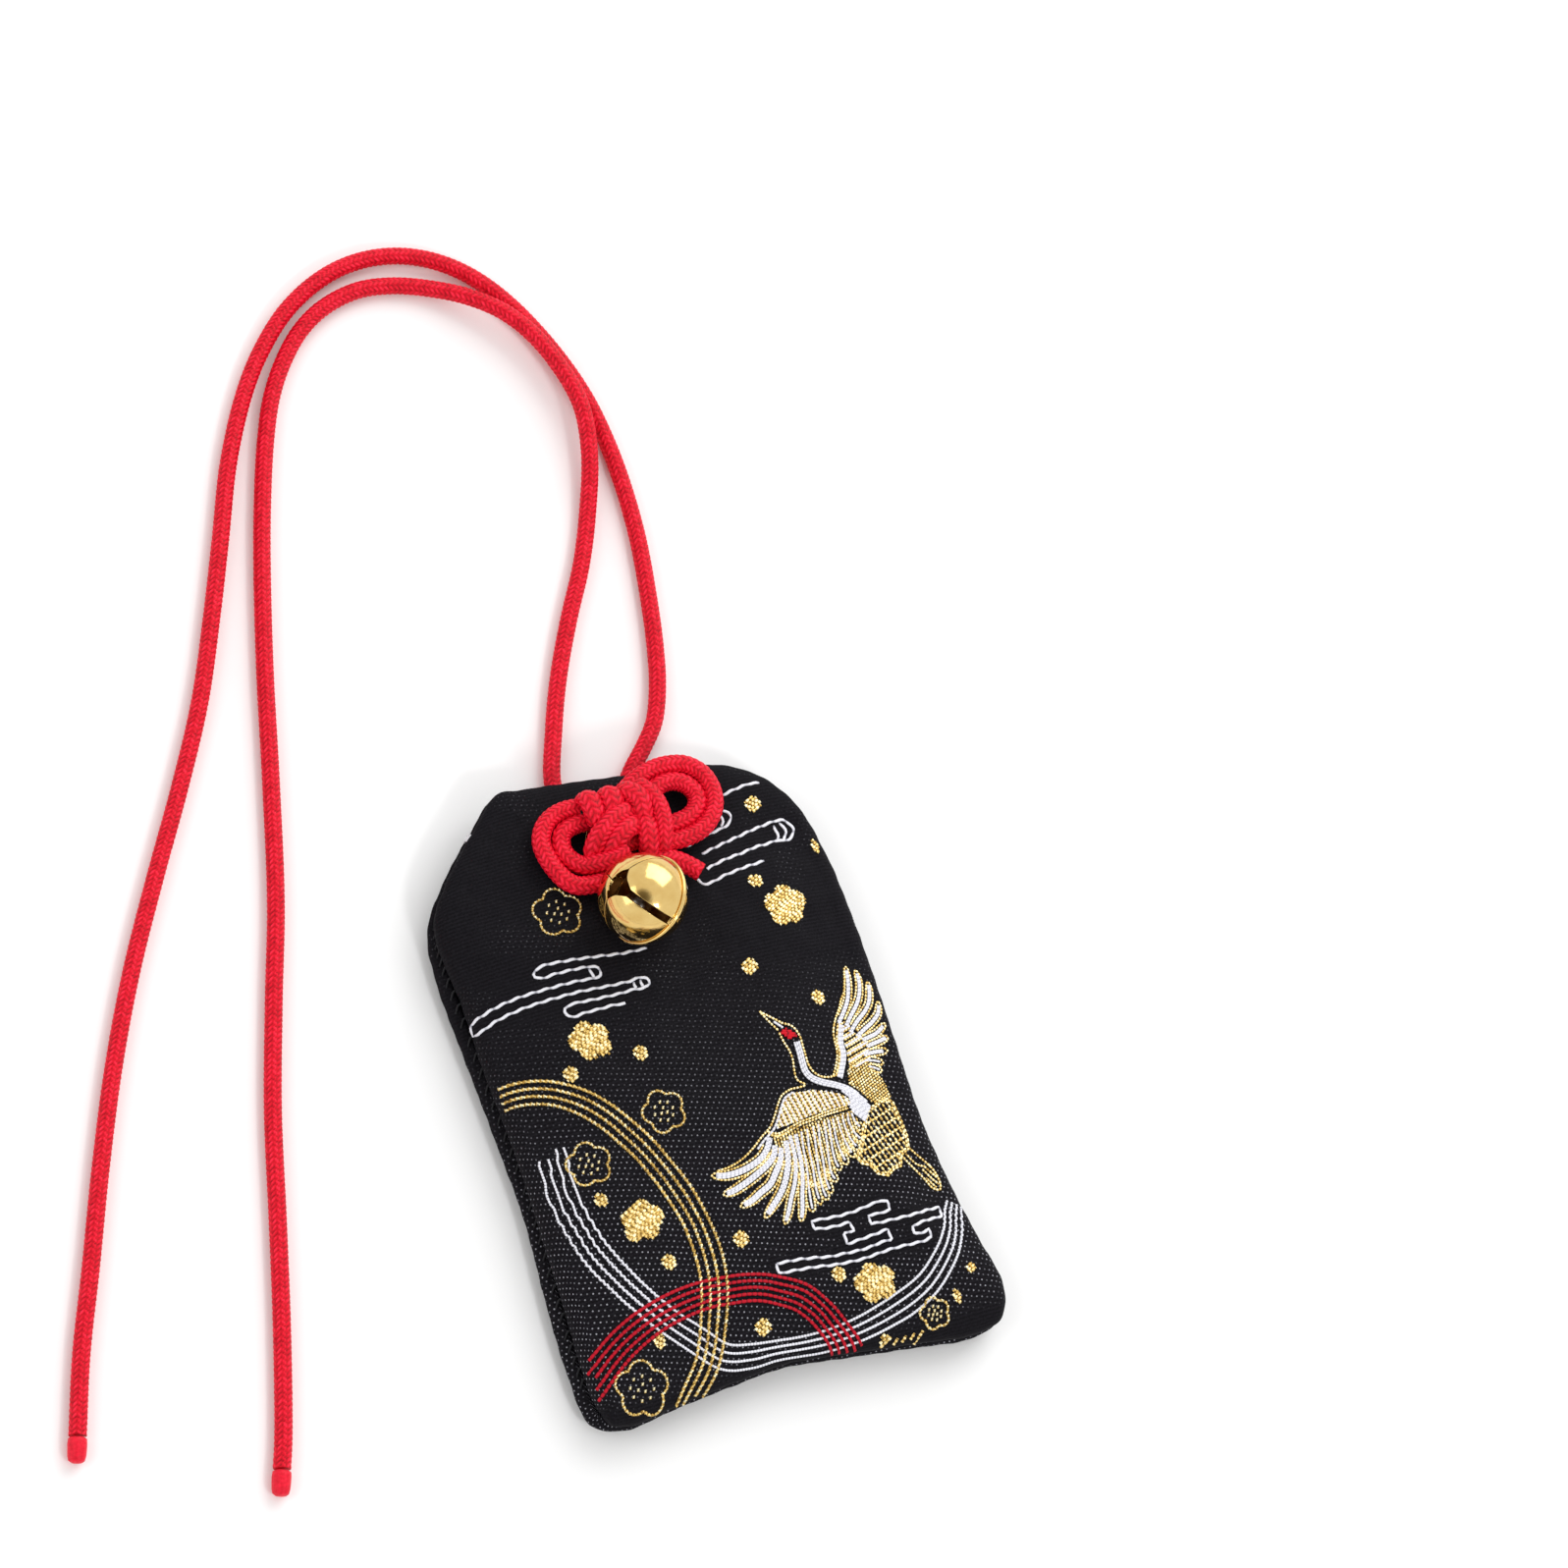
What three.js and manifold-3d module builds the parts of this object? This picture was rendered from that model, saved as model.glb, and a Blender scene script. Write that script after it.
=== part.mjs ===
// An omamori charm: a padded brocade pouch with a talisman inside, closed by a red braided cord.
// The cord is tied in front in a flat knot of two doubled loops, and a small jingle bell hangs under it.
// Millimetres. The pouch lies on its back: +Z comes out of its front and +Y points to its mouth.
import * as THREE from "three";
import * as BufferGeometryUtils from "three/addons/utils/BufferGeometryUtils.js";
import Module from "manifold-3d";

const wasm = await Module();
wasm.setup();

// Pouch
const pouchLength = 73;
const pouchWidth = 51;
const clothThickness = 0.5;
const seamHeight = 2.7;
const seamGap = 0.3;
const seamInset = 1;
const frontBulgeHeight = 4.2;
const frontCreaseHeight = 5.3;
const frontShoulderHeight = 5.8;
const backBulgeHeight = 1.6;
const backCreaseHeight = 0.7;
const creaseInset = 0.7;
const shoulderInset = 2.5;
const crownHeight = 2.6;
const crownPower = 3;
const faceReachShare = 0.945;

// The mouth stands up off the table on the two cords that leave under it, and is thinner there.
const mouthLift = 2.6;
const mouthSqueezeShare = 0.35;
const liftStart = 20;
const liftEnd = 28;

// Filling
const softGap = 0.3;
const backWaddingThickness = 1.3;
const cardThickness = 0.6;
const cardInset = 2;
const fillingTop = 25;
const flatShare = 0.95;
const paddingFootShare = 0.97;
const talismanWidth = 30;
const talismanLength = 44;
const talismanCentreY = -4;
const boardThickness = 1.6;
const sleevePaper = 0.25;
const sleeveGap = 0.15;

// Mouth hems: a strip of the brocade turned in on each side of the mouth
const hemWidth = 18;
const hemCentreX = -2;
const hemDepth = 6;
const hemTop = 32.05;
const hemLayer = 0.3;
const hemFold = 0.2;
const hemGap = 0.15;

// Eyelet
const eyeletX = -1;
const eyeletY = 29;
const eyeletRadius = 2.25;

// Seam thread
const seamThread = 0.15;
const seamThreadInset = 0.55;
const tackLength = 1.3;
const tackThread = 0.18;

// Cord
const cordDiameter = 2;
const knotCordDiameter = 1.7;
const wrapCordDiameter = 2.05;
const sealedTipDiameter = 2.1;
const sealedTipLength = 2.6;
const buttGap = 0.3;

// Knot: its own flat frame, tilted with the pouch's front, with its origin over the eyelet
const knotTilt = 0.12;
const knotRise = 0.5;
const leadSpacing = 2.1;

// Bell and its hanging wire
const bellRadius = 5;
const bellWall = 0.4;
const bellSeamGap = 0.12;
const bellSeamHeight = -0.75;
const bellLipHeight = 0.5;
const bellLipWall = 0.15;
const wideSlot = 0.75;
const narrowSlot = 0.3;
const slotFloor = -0.5;
const petalOpeningReach = 2;
const petalOpeningBack = 0.45;
const shankLoopRadius = 0.95;
const shankWire = 0.2;
const shankLoopCentre = 5.32;
const shankFootGap = 0.12;
const bellHang = 5.75;
const pelletRadius = 1.6;
const pelletGap = 0.3;
const hangingWire = 0.175;

// Mesh fineness
const outlineSteps = 66;
const cordSides = 8;
const threadSides = 5;
const knotStep = 1.5;
const threadStep = 3;
const hangingWireStep = 0.9;

const halfWidth = pouchWidth / 2;
const halfLength = pouchLength / 2;

// The pouch's outline at its widest, as shares of half its width and half its length,
// from the middle of the bottom edge round by the right side, the mouth and the left side.
const outlineShares = [
  [-0.08, -0.926], [0.2, -0.948], [0.51, -0.975], [0.8, -0.996], [0.925, -0.967],
  [0.976, -0.871], [0.941, -0.726], [0.902, -0.562], [0.871, -0.329], [0.875, -0.082],
  [0.882, 0.164], [0.878, 0.384], [0.859, 0.562], [0.796, 0.718], [0.678, 0.838],
  [0.502, 0.91], [0.196, 0.937], [-0.118, 0.962], [-0.412, 0.981], [-0.525, 0.984],
  [-0.667, 0.899], [-0.843, 0.778], [-0.973, 0.652], [-1, 0.507], [-0.992, 0.274],
  [-0.976, 0], [-0.965, -0.274], [-0.988, -0.548], [-0.998, -0.767], [-0.973, -0.93],
  [-0.855, -0.975], [-0.588, -0.956], [-0.314, -0.937],
];

const outlineCurve = new THREE.CatmullRomCurve3(
  outlineShares.map(([x, y]) => new THREE.Vector3(x * halfWidth, y * halfLength, 0)),
  true,
);

// A point of the outline at a share of its listed points, moved inwards by an inset.
function outlinePoint(share, inset) {
  const point = outlineCurve.getPoint(share);
  const along = outlineCurve.getTangent(share);
  return new THREE.Vector2(point.x - along.y * inset, point.y + along.x * inset);
}

// The height of a layer of the pouch at a place along its length, with the mouth's lift.
function mouthShaped(y, height) {
  const share = THREE.MathUtils.smoothstep(y, liftStart, liftEnd);
  return mouthLift * share + height * (1 - mouthSqueezeShare * share);
}

function crownAt(scale) {
  return frontShoulderHeight + crownHeight * (1 - scale ** crownPower);
}

// The height of the front panel's face on the pouch's middle line.
function frontHeightAt(y) {
  const reach = faceReachShare * halfLength - shoulderInset;
  return mouthShaped(y, crownAt(Math.min(Math.abs(y) / reach, 1)));
}

// One ring of points round the pouch. Cloth's thickness goes inwards by across and downwards by down.
function ring({ inset = shoulderInset, scale = 1, height, across = 0, down = 0, clip = halfLength }) {
  const points = [];
  for (let i = 0; i < outlineSteps; i++) {
    const flat = outlinePoint(i / outlineSteps, inset + across).multiplyScalar(scale);
    const y = Math.min(flat.y, clip);
    points.push(new THREE.Vector3(flat.x, y, mouthShaped(y, height) - down));
  }
  return points;
}

// A closed skin over a list of rings, from the point in the middle of its upward side
// to the point in the middle of its downward side.
function closedSkin(first, rings, last) {
  const positions = [first.x, first.y, first.z];
  for (const points of rings) {
    for (const point of points) positions.push(point.x, point.y, point.z);
  }
  positions.push(last.x, last.y, last.z);
  const end = 1 + rings.length * outlineSteps;
  const indices = [];
  for (let i = 0; i < outlineSteps; i++) {
    const next = (i + 1) % outlineSteps;
    indices.push(0, 1 + i, 1 + next);
    for (let k = 0; k + 1 < rings.length; k++) {
      const inner = 1 + k * outlineSteps;
      const outer = inner + outlineSteps;
      indices.push(inner + i, outer + i, outer + next);
      indices.push(inner + i, outer + next, inner + next);
    }
    const lastRing = end - outlineSteps;
    indices.push(lastRing + i, end, lastRing + next);
  }
  const geometry = new THREE.BufferGeometry();
  geometry.setAttribute("position", new THREE.Float32BufferAttribute(positions, 3));
  geometry.setIndex(indices);
  return geometry;
}

function solidOf(geometry) {
  let bare = geometry.clone();
  bare.deleteAttribute("normal");
  bare.deleteAttribute("uv");
  bare = BufferGeometryUtils.mergeVertices(bare);
  const mesh = new wasm.Mesh({
    numProp: 3,
    vertProperties: new Float32Array(bare.attributes.position.array),
    triVerts: new Uint32Array(bare.index.array),
  });
  return new wasm.Manifold(mesh);
}

function geometryOf(solid) {
  const mesh = solid.getMesh();
  const geometry = new THREE.BufferGeometry();
  geometry.setAttribute("position", new THREE.Float32BufferAttribute(mesh.vertProperties, 3));
  geometry.setIndex(Array.from(mesh.triVerts));
  return geometry;
}

function cutAway(geometry, tools) {
  let solid = solidOf(geometry);
  for (const tool of tools) solid = solid.subtract(solidOf(tool));
  return geometryOf(solid);
}

// A round cord, thread or wire along a smooth curve through points.
function tube(points, radius, sides, step) {
  const curve = new THREE.CatmullRomCurve3(points);
  const section = new THREE.Shape();
  for (let i = 0; i < sides; i++) {
    const angle = (i / sides) * Math.PI * 2;
    const x = radius * Math.cos(angle);
    const y = radius * Math.sin(angle);
    if (i === 0) section.moveTo(x, y);
    else section.lineTo(x, y);
  }
  section.closePath();
  const steps = Math.max(2, Math.round(curve.getLength() / step));
  return new THREE.ExtrudeGeometry(section, { steps, extrudePath: curve, bevelEnabled: false });
}

const charm = new THREE.Group();

function material(color, roughness, metalness = 0) {
  return new THREE.MeshStandardMaterial({ color, roughness, metalness });
}

const brocade = material(0x141316, 0.75);
const wadding = material(0xe8e4da, 0.95);
const card = material(0xb9a98c, 0.9);
const wood = material(0xd9b98a, 0.7);
const paper = material(0xf2efe6, 0.85);
const blackThread = material(0x1b1a1d, 0.6);
const whiteThread = material(0xdedbe0, 0.6);
const redCord = material(0xd9142b, 0.7);
const sealedCord = material(0xe0182f, 0.4);
const brass = material(0xd8b25a, 0.25, 1);
const steel = material(0xb8b6b0, 0.3, 1);

function add(name, geometry, finish, parent = charm) {
  geometry.computeVertexNormals();
  const mesh = new THREE.Mesh(geometry, finish);
  mesh.name = name;
  parent.add(mesh);
  return mesh;
}

// Eyelet: a round hole through both panels and both hems for the cord
function eyeletCutter() {
  const cutter = new THREE.CylinderGeometry(eyeletRadius, eyeletRadius, pouchLength, 24);
  cutter.rotateX(Math.PI / 2);
  cutter.translate(eyeletX, eyeletY, 0);
  return cutter;
}

// Front panel: a cup of brocade with its rim at the side seam and a crowned face
const crownShares = [1, 0.93, 0.83, 0.68, 0.48, 0.25];
const frontEdge = [
  { inset: creaseInset, height: frontCreaseHeight, acrossShare: 0.7, downShare: 0.7 },
  { inset: 0, height: frontBulgeHeight, acrossShare: 1, downShare: 0 },
  { inset: seamInset, height: seamHeight + seamGap / 2, acrossShare: 1, downShare: 0 },
];

function frontRings(depth) {
  const rings = crownShares.map((scale) => ring({ scale, height: crownAt(scale), down: depth })).reverse();
  for (const { inset, height, acrossShare, downShare } of frontEdge) {
    rings.push(ring({ inset, height, across: acrossShare * depth, down: downShare * depth }));
  }
  return rings;
}

function crownMiddle(depth) {
  return new THREE.Vector3(0, 0, crownAt(0) - depth);
}

const frontShell = closedSkin(
  crownMiddle(0),
  [...frontRings(0), ...frontRings(clothThickness).reverse()],
  crownMiddle(clothThickness),
);
const frontPanel = add("front_panel", cutAway(frontShell, [eyeletCutter()]), brocade);

// Back panel: the same cup turned over, flat where the pouch rests
const backShares = [1, 0.9, 0.8, 0.68, 0.55];
const backEdge = [
  { inset: creaseInset, height: backCreaseHeight, acrossShare: 0.7, downShare: -0.7 },
  { inset: 0, height: backBulgeHeight, acrossShare: 1, downShare: 0 },
  { inset: seamInset, height: seamHeight - seamGap / 2, acrossShare: 1, downShare: 0 },
];

function backRings(depth) {
  const rings = backShares.map((scale) => ring({ scale, height: 0, down: -depth })).reverse();
  for (const { inset, height, acrossShare, downShare } of backEdge) {
    rings.push(ring({ inset, height, across: acrossShare * depth, down: downShare * depth }));
  }
  return rings;
}

const backShell = closedSkin(
  new THREE.Vector3(0, 0, clothThickness),
  [...backRings(clothThickness), ...backRings(0).reverse()],
  new THREE.Vector3(0, 0, 0),
);
add("back_panel", cutAway(backShell, [eyeletCutter()]), brocade);

// Filling: back wadding, stiffener card, talisman in its paper sleeve, front wadding
const liningInset = seamInset + clothThickness + softGap;
const backWaddingBottom = clothThickness + softGap;
const backWaddingTop = backWaddingBottom + backWaddingThickness;
const cardBottom = backWaddingTop + softGap;
const cardTop = cardBottom + cardThickness;
const sleeveBottom = cardTop + softGap / 2;
const boardBottom = sleeveBottom + sleevePaper + sleeveGap;
const boardTop = boardBottom + boardThickness;
const sleeveTop = boardTop + sleeveGap + sleevePaper;

function flatPad({ inset, bottomInset, bottomScale, bottom, top }) {
  return closedSkin(
    new THREE.Vector3(0, 0, top),
    [
      ring({ inset, scale: flatShare, height: top, clip: liftStart }),
      ring({ inset, height: top, clip: fillingTop }),
      ring({ inset: bottomInset, scale: bottomScale, height: bottom, clip: fillingTop }),
      ring({ inset: bottomInset, scale: flatShare * bottomScale, height: bottom, clip: liftStart }),
    ],
    new THREE.Vector3(0, 0, bottom),
  );
}

const backWadding = flatPad({
  inset: liningInset,
  bottomInset: shoulderInset,
  bottomScale: paddingFootShare,
  bottom: backWaddingBottom,
  top: backWaddingTop,
});
add("back_wadding", backWadding, wadding);
const stiffenerCard = flatPad({
  inset: cardInset,
  bottomInset: cardInset,
  bottomScale: 1,
  bottom: cardBottom,
  top: cardTop,
});
add("stiffener_card", stiffenerCard, card);

function box(width, length, bottom, top) {
  const geometry = new THREE.BoxGeometry(width, length, top - bottom);
  geometry.translate(0, talismanCentreY, (bottom + top) / 2);
  return geometry;
}

add("talisman_board", box(talismanWidth, talismanLength, boardBottom, boardTop), wood);

const sleeveWidth = talismanWidth + 2 * (sleeveGap + sleevePaper);
const sleeveBore = box(
  talismanWidth + 2 * sleeveGap,
  talismanLength * 2,
  boardBottom - sleeveGap,
  boardTop + sleeveGap,
);
const sleeveOuter = box(sleeveWidth, talismanLength, sleeveBottom, sleeveTop);
add("talisman_sleeve", cutAway(sleeveOuter, [sleeveBore]), paper);

const waddingShares = [1, 0.83, 0.6, 0.3];
const waddingDepth = clothThickness + softGap;
const frontWaddingRings = waddingShares
  .map((scale) => ring({ scale, height: crownAt(scale), down: waddingDepth, clip: fillingTop }))
  .reverse();
frontWaddingRings.push(
  ring({ inset: liningInset, height: frontBulgeHeight, clip: fillingTop }),
  ring({ inset: liningInset, height: sleeveBottom, clip: fillingTop }),
);
const frontWadding = closedSkin(
  crownMiddle(waddingDepth),
  frontWaddingRings,
  new THREE.Vector3(0, 0, sleeveBottom),
);
const pocket = box(
  sleeveWidth + 2 * softGap,
  talismanLength + 2 * softGap,
  sleeveBottom - cardThickness,
  sleeveTop + softGap,
);
add("front_wadding", cutAway(frontWadding, [pocket]), wadding);

// Mouth hems: each a hairpin of cloth whose fold is at the mouth
function hem(middleHeight) {
  const reach = hemFold / 2 + hemLayer;
  const inner = hemFold / 2;
  const foldCentre = hemTop - reach;
  const section = new THREE.Shape();
  section.moveTo(hemTop - hemDepth, -reach);
  section.lineTo(foldCentre, -reach);
  section.absarc(foldCentre, 0, reach, -Math.PI / 2, Math.PI / 2, false);
  section.lineTo(hemTop - hemDepth, reach);
  section.lineTo(hemTop - hemDepth, inner);
  section.lineTo(foldCentre, inner);
  section.absarc(foldCentre, 0, inner, Math.PI / 2, -Math.PI / 2, true);
  section.lineTo(hemTop - hemDepth, -inner);
  section.closePath();
  const options = { depth: hemWidth, bevelEnabled: false, curveSegments: 5 };
  const geometry = new THREE.ExtrudeGeometry(section, options);
  const turn = new THREE.Matrix4().makeBasis(
    new THREE.Vector3(0, 1, 0),
    new THREE.Vector3(0, 0, 1),
    new THREE.Vector3(1, 0, 0),
  );
  geometry.applyMatrix4(turn);
  geometry.translate(hemCentreX - hemWidth / 2, 0, middleHeight);
  return cutAway(geometry, [eyeletCutter()]);
}

const hemThickness = 2 * hemLayer + hemFold;
const mouthSeam = mouthShaped(liftEnd, seamHeight);
add("front_mouth_hem", hem(mouthSeam + hemGap / 2 + hemThickness / 2), brocade);
add("back_mouth_hem", hem(mouthSeam - hemGap / 2 - hemThickness / 2), brocade);

// Seam threads: they run in the groove between the panels, as shares of the way round the outline
const seamRuns = {
  right_seam_thread: { startShare: 0.16, endShare: 0.4 },
  left_seam_thread: { startShare: 0.63, endShare: 0.86 },
  bottom_seam_thread: { startShare: 0.895, endShare: 1.115 },
};

function seamPoint(share) {
  const flat = outlinePoint(share % 1, seamThreadInset);
  return new THREE.Vector3(flat.x, flat.y, mouthShaped(flat.y, seamHeight));
}

for (const [name, { startShare, endShare }] of Object.entries(seamRuns)) {
  const count = 24;
  const points = [];
  for (let i = 0; i <= count; i++) {
    points.push(seamPoint(startShare + ((endShare - startShare) * i) / count));
  }
  add(name, tube(points, seamThread, threadSides, threadStep), blackThread);
}

// Shoulder tack: the white bar of thread that locks the left seam where the mouth begins
const tackShare = 0.612;
const tackFoot = seamPoint(tackShare);
const tackOut = outlinePoint(tackShare, seamThreadInset - tackLength / 2);
const tackPoints = [
  tackFoot,
  new THREE.Vector3((tackFoot.x + tackOut.x) / 2, (tackFoot.y + tackOut.y) / 2, tackFoot.z),
  new THREE.Vector3(tackOut.x, tackOut.y, tackFoot.z),
];
add("left_shoulder_tack", tube(tackPoints, tackThread, threadSides, tackLength / 3), whiteThread);

// Knot frame: flat over the front at the eyelet, and tilted with it below the mouth
const knotFrame = new THREE.Group();
knotFrame.position.set(eyeletX, eyeletY, frontHeightAt(eyeletY) + knotRise);
knotFrame.rotation.x = -knotTilt;
charm.add(knotFrame);

// Runs of the knot's cord, by hand, from one hidden end to the other
const knotRuns = {
  knot_left_loop_outer: [
    [-5.15, 2.3, 1.3], [-6.7, 2.3, 1.3], [-8.3, 1.8, 1.3], [-9.6, 0.7, 1.3], [-10.3, -0.8, 1.3],
    [-10.3, -2.5, 1.3], [-9.9, -4.2, 1.3], [-9.2, -5.7, 1.3], [-8.2, -6.6, 1.3], [-6.7, -6.9, 1.3],
    [-5.3, -6.85, 1.25], [-4.3, -6.7, 1.2],
  ],
  knot_left_loop_inner: [
    [-3.3, 0.2, 1.25], [-4.6, 0.35, 1.3], [-6.2, 0.3, 1.3], [-7.6, -0.3, 1.3], [-8.25, -1.8, 1.3],
    [-7.9, -3.4, 1.35], [-6.7, -4.6, 1.5], [-5, -5, 2.3], [-3.2, -5.25, 2.95], [-1.8, -4.85, 3.25],
  ],
  knot_right_loop_outer: [
    [1.3, 3, 1.3], [2, 3.5, 1.3], [3.4, 4.2, 1.3], [5.4, 4.7, 1.3], [7.3, 4.7, 1.3],
    [9, 4.2, 1.3], [10.3, 2.9, 1.3], [10.8, 1.2, 1.3], [10.6, -0.7, 1.3], [9.7, -2.3, 1.3],
    [8.1, -3.6, 1.3], [6, -4.2, 1.3], [4, -4.2, 1.2],
  ],
  knot_right_loop_inner: [
    [3.3, 1.1, 1.3], [4.2, 2.1, 1.3], [5.4, 2.65, 1.3], [6.9, 2.65, 1.3], [8.2, 1.85, 1.3],
    [8.8, 0.4, 1.3], [8.3, -1, 1.3], [7, -1.9, 1.3], [5.5, -2.2, 1.3], [4.1, -2.25, 1.2],
  ],
  knot_wrap_left: [
    [-3.95, 2.75, 1.9], [-3.95, 2.45, 3], [-3.95, 1.7, 3.5], [-3.95, 0.9, 3.45], [-3.85, 0.3, 3.3],
  ],
  knot_wrap_middle: [
    [-1.45, 2.6, 2], [-1.45, 2.3, 3.1], [-1.5, 1.6, 3.6], [-1.6, 0.9, 3.55],
  ],
  knot_wrap_right_inner: [
    [0.5, 2.3, 2.7], [0.8, 1.8, 3.4], [1.3, 1, 3.75], [1.5, 0.2, 3.7], [1.5, -0.6, 3.4],
  ],
  knot_wrap_right_outer: [
    [2.5, 2.2, 2.95], [2.85, 1.5, 3.3], [3.2, 0.5, 3.5], [3.4, -0.6, 3.5], [3.4, -1.8, 3.35],
    [3.2, -2.9, 3.2], [2.9, -3.7, 3], [2.7, -4.3, 2.7],
  ],
  knot_fold_left_upper: [
    [-0.3, -0.2, 3.2], [-1.6, -0.6, 3.5], [-3, -1.3, 3.5], [-4.3, -2.3, 3.1], [-5, -3.1, 2.5],
  ],
  knot_fold_left_lower: [
    [-0.3, -2, 3.2], [-1.3, -2.4, 3.5], [-2.3, -3.05, 3.3], [-2.9, -3.4, 3],
  ],
  knot_fold_right: [
    [1.4, -2, 3.1], [1.25, -2.9, 3.3], [1.05, -3.8, 3.2], [0.9, -4.4, 3],
  ],
  knot_core_upper: [
    [-3.1, -2.3, 1.2], [-1, -2.35, 1.2], [1.2, -2.35, 1.2], [2.9, -2.3, 1.2],
  ],
  knot_core_lower: [
    [-2.5, -4.3, 1.15], [-0.6, -4.15, 1.15], [1.4, -4.15, 1.15],
  ],
  knot_tail: [
    [0.1, -6, 1.2], [1.4, -5.8, 1.3], [2.7, -6, 1.3], [4, -6.7, 1.3], [5, -7.6, 1.3], [6, -8.7, 1.3],
  ],
};

for (const [name, route] of Object.entries(knotRuns)) {
  const points = route.map(([x, y, z]) => new THREE.Vector3(x, y, z));
  const wide = name === "knot_wrap_left" || name === "knot_wrap_middle";
  const diameter = wide ? wrapCordDiameter : knotCordDiameter;
  add(name, tube(points, diameter / 2, cordSides, knotStep), redCord, knotFrame);
}

// Cord leads: the two ends of the cord go down through the eyelet and turn out under the mouth
const leadRoutes = {
  right_cord_lead: [
    [-1 + leadSpacing / 2, 29.3, 8.9], [-1 + leadSpacing / 2, 29.05, 6.5], [-1 + leadSpacing / 2, 29, 4.2],
    [0.1, 29.05, 2.9], [0.3, 29.5, 1.7], [0.8, 30.5, 1.1], [1.7, 32.2, 1.05], [2.7, 34, 1.05],
  ],
  left_cord_lead: [
    [-1 - leadSpacing / 2, 29.3, 8.9], [-1 - leadSpacing / 2, 29.05, 6.5], [-1 - leadSpacing / 2, 29, 4.2],
    [-2.1, 29.05, 2.9], [-2.4, 29.5, 1.7], [-2.9, 30.5, 1.1], [-3.8, 32.4, 1.05], [-4.6, 34.5, 1.05],
  ],
};

for (const [name, route] of Object.entries(leadRoutes)) {
  const points = route.map(([x, y, z]) => new THREE.Vector3(x, y, z));
  add(name, tube(points, knotCordDiameter / 2, cordSides, knotStep), redCord);
}

// Free cords: the two strands lie on the table in an arch, and the left one crosses over the right
const strandRoutes = {
  right_cord_strand: [
    [2.84, 34.27, 1.05], [4.4, 36.2, 1.05], [6.6, 38.4, 1.05], [8.8, 41, 1.05], [10.6, 45, 1.05],
    [12, 50, 1.05], [13.2, 56, 1.05], [14.2, 62.5, 1.05], [14.6, 68.5, 1.05], [14.5, 74.5, 1.05],
    [13.7, 80.7, 1.05], [11.6, 87.4, 1.05], [8.4, 93.8, 1.05], [5.1, 97.9, 1.05], [1.3, 100.6, 1.05],
    [-2.8, 102, 1.05], [-7.2, 102.2, 1.05], [-11.8, 101.1, 1.05], [-16.9, 98.3, 1.05], [-21.4, 94.1, 1.05],
    [-25, 89.4, 1.05], [-29.2, 82, 1.05], [-33, 73.2, 1.05], [-36.6, 65, 1.05], [-41.1, 55.4, 1.05],
    [-46.3, 46.4, 1.05], [-52.1, 37.1, 1.05], [-57.9, 27.4, 1.05], [-63, 17.6, 1.05], [-67.8, 7, 1.05],
    [-72, -3, 1.05], [-75.8, -11.8, 1.05], [-78.8, -20.1, 1.05],
  ],
  left_cord_strand: [
    [-4.73, 34.85, 1.05], [-5.1, 36.5, 1.05], [-2.9, 42.8, 1.05], [-0.3, 48.7, 1.05], [3.1, 55, 1.05],
    [6.7, 61, 1.05], [9.5, 67, 1.2], [11.6, 73.3, 2.2], [12.3, 79, 2.9], [11.2, 84.5, 3],
    [9.3, 88.9, 3], [6.9, 92.2, 2.8], [3.7, 95, 2.1], [0.1, 97.1, 1.3], [-3.7, 98.4, 1.05],
    [-8, 98.8, 1.05], [-12.5, 97.7, 1.05], [-16.2, 95.5, 1.05], [-19.4, 92.2, 1.05], [-22, 88.4, 1.05],
    [-24.3, 83.5, 1.05], [-27.1, 76, 1.05], [-29.6, 68.3, 1.05], [-32.9, 57, 1.05], [-36.3, 44.2, 1.05],
    [-40, 31, 1.05], [-43.8, 20, 1.05], [-47.6, 8.5, 1.05], [-50.9, -3.5, 1.05], [-54.2, -15.2, 1.05],
    [-57.6, -26.2, 1.05], [-58.8, -29.4, 1.05],
  ],
};

const strandSteps = 40;
for (const [side, name] of [["right", "right_cord_strand"], ["left", "left_cord_strand"]]) {
  const points = strandRoutes[name].map(([x, y, z]) => new THREE.Vector3(x, y, z));
  const step = new THREE.CatmullRomCurve3(points).getLength() / strandSteps;
  add(name, tube(points, cordDiameter / 2, cordSides, step), redCord);

  const end = points[points.length - 1];
  const along = end.clone().sub(points[points.length - 2]).setZ(0).normalize();
  const tip = new THREE.CylinderGeometry(sealedTipDiameter / 2, sealedTipDiameter / 2, sealedTipLength, 10);
  const upright = new THREE.Vector3(0, 1, 0);
  tip.applyQuaternion(new THREE.Quaternion().setFromUnitVectors(upright, along));
  const middle = end.clone().addScaledVector(along, buttGap + sealedTipLength / 2);
  tip.translate(middle.x, middle.y, sealedTipDiameter / 2);
  add(`${side}_cord_sealed_tip`, tip, sealedCord);
}

// Hanging wire: a fine gold wire bent by hand round the two leads, under the knot, and through
// the bell's shank. Its two ends meet under the knot. The route is in the knot's frame.
const hangingWireRoute = [
  [0.5, 1.8, 0], [2.1, 1.2, 0], [2.7, -0.6, 0], [2.6, -3.4, 0], [2.7, -6.4, 0.05], [2.9, -8.8, 0.8],
  [2.9, -10.9, 1.9], [2.2, -12.4, 2], [1.29, -12.68, 1.04], [0.3, -12.3, 0], [-0.5, -11, -0.15],
  [-1.6, -9.1, -0.1], [-3.1, -7, 0], [-4.5, -4.7, 0], [-5, -2.3, 0], [-4.2, -0.2, 0], [-2.3, 1.4, 0],
  [0.1, 1.85, 0],
];
const hangingWirePoints = hangingWireRoute.map(([x, y, z]) => new THREE.Vector3(x, y, z));
const hangingWireGeometry = tube(hangingWirePoints, hangingWire, threadSides + 1, hangingWireStep);
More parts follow.
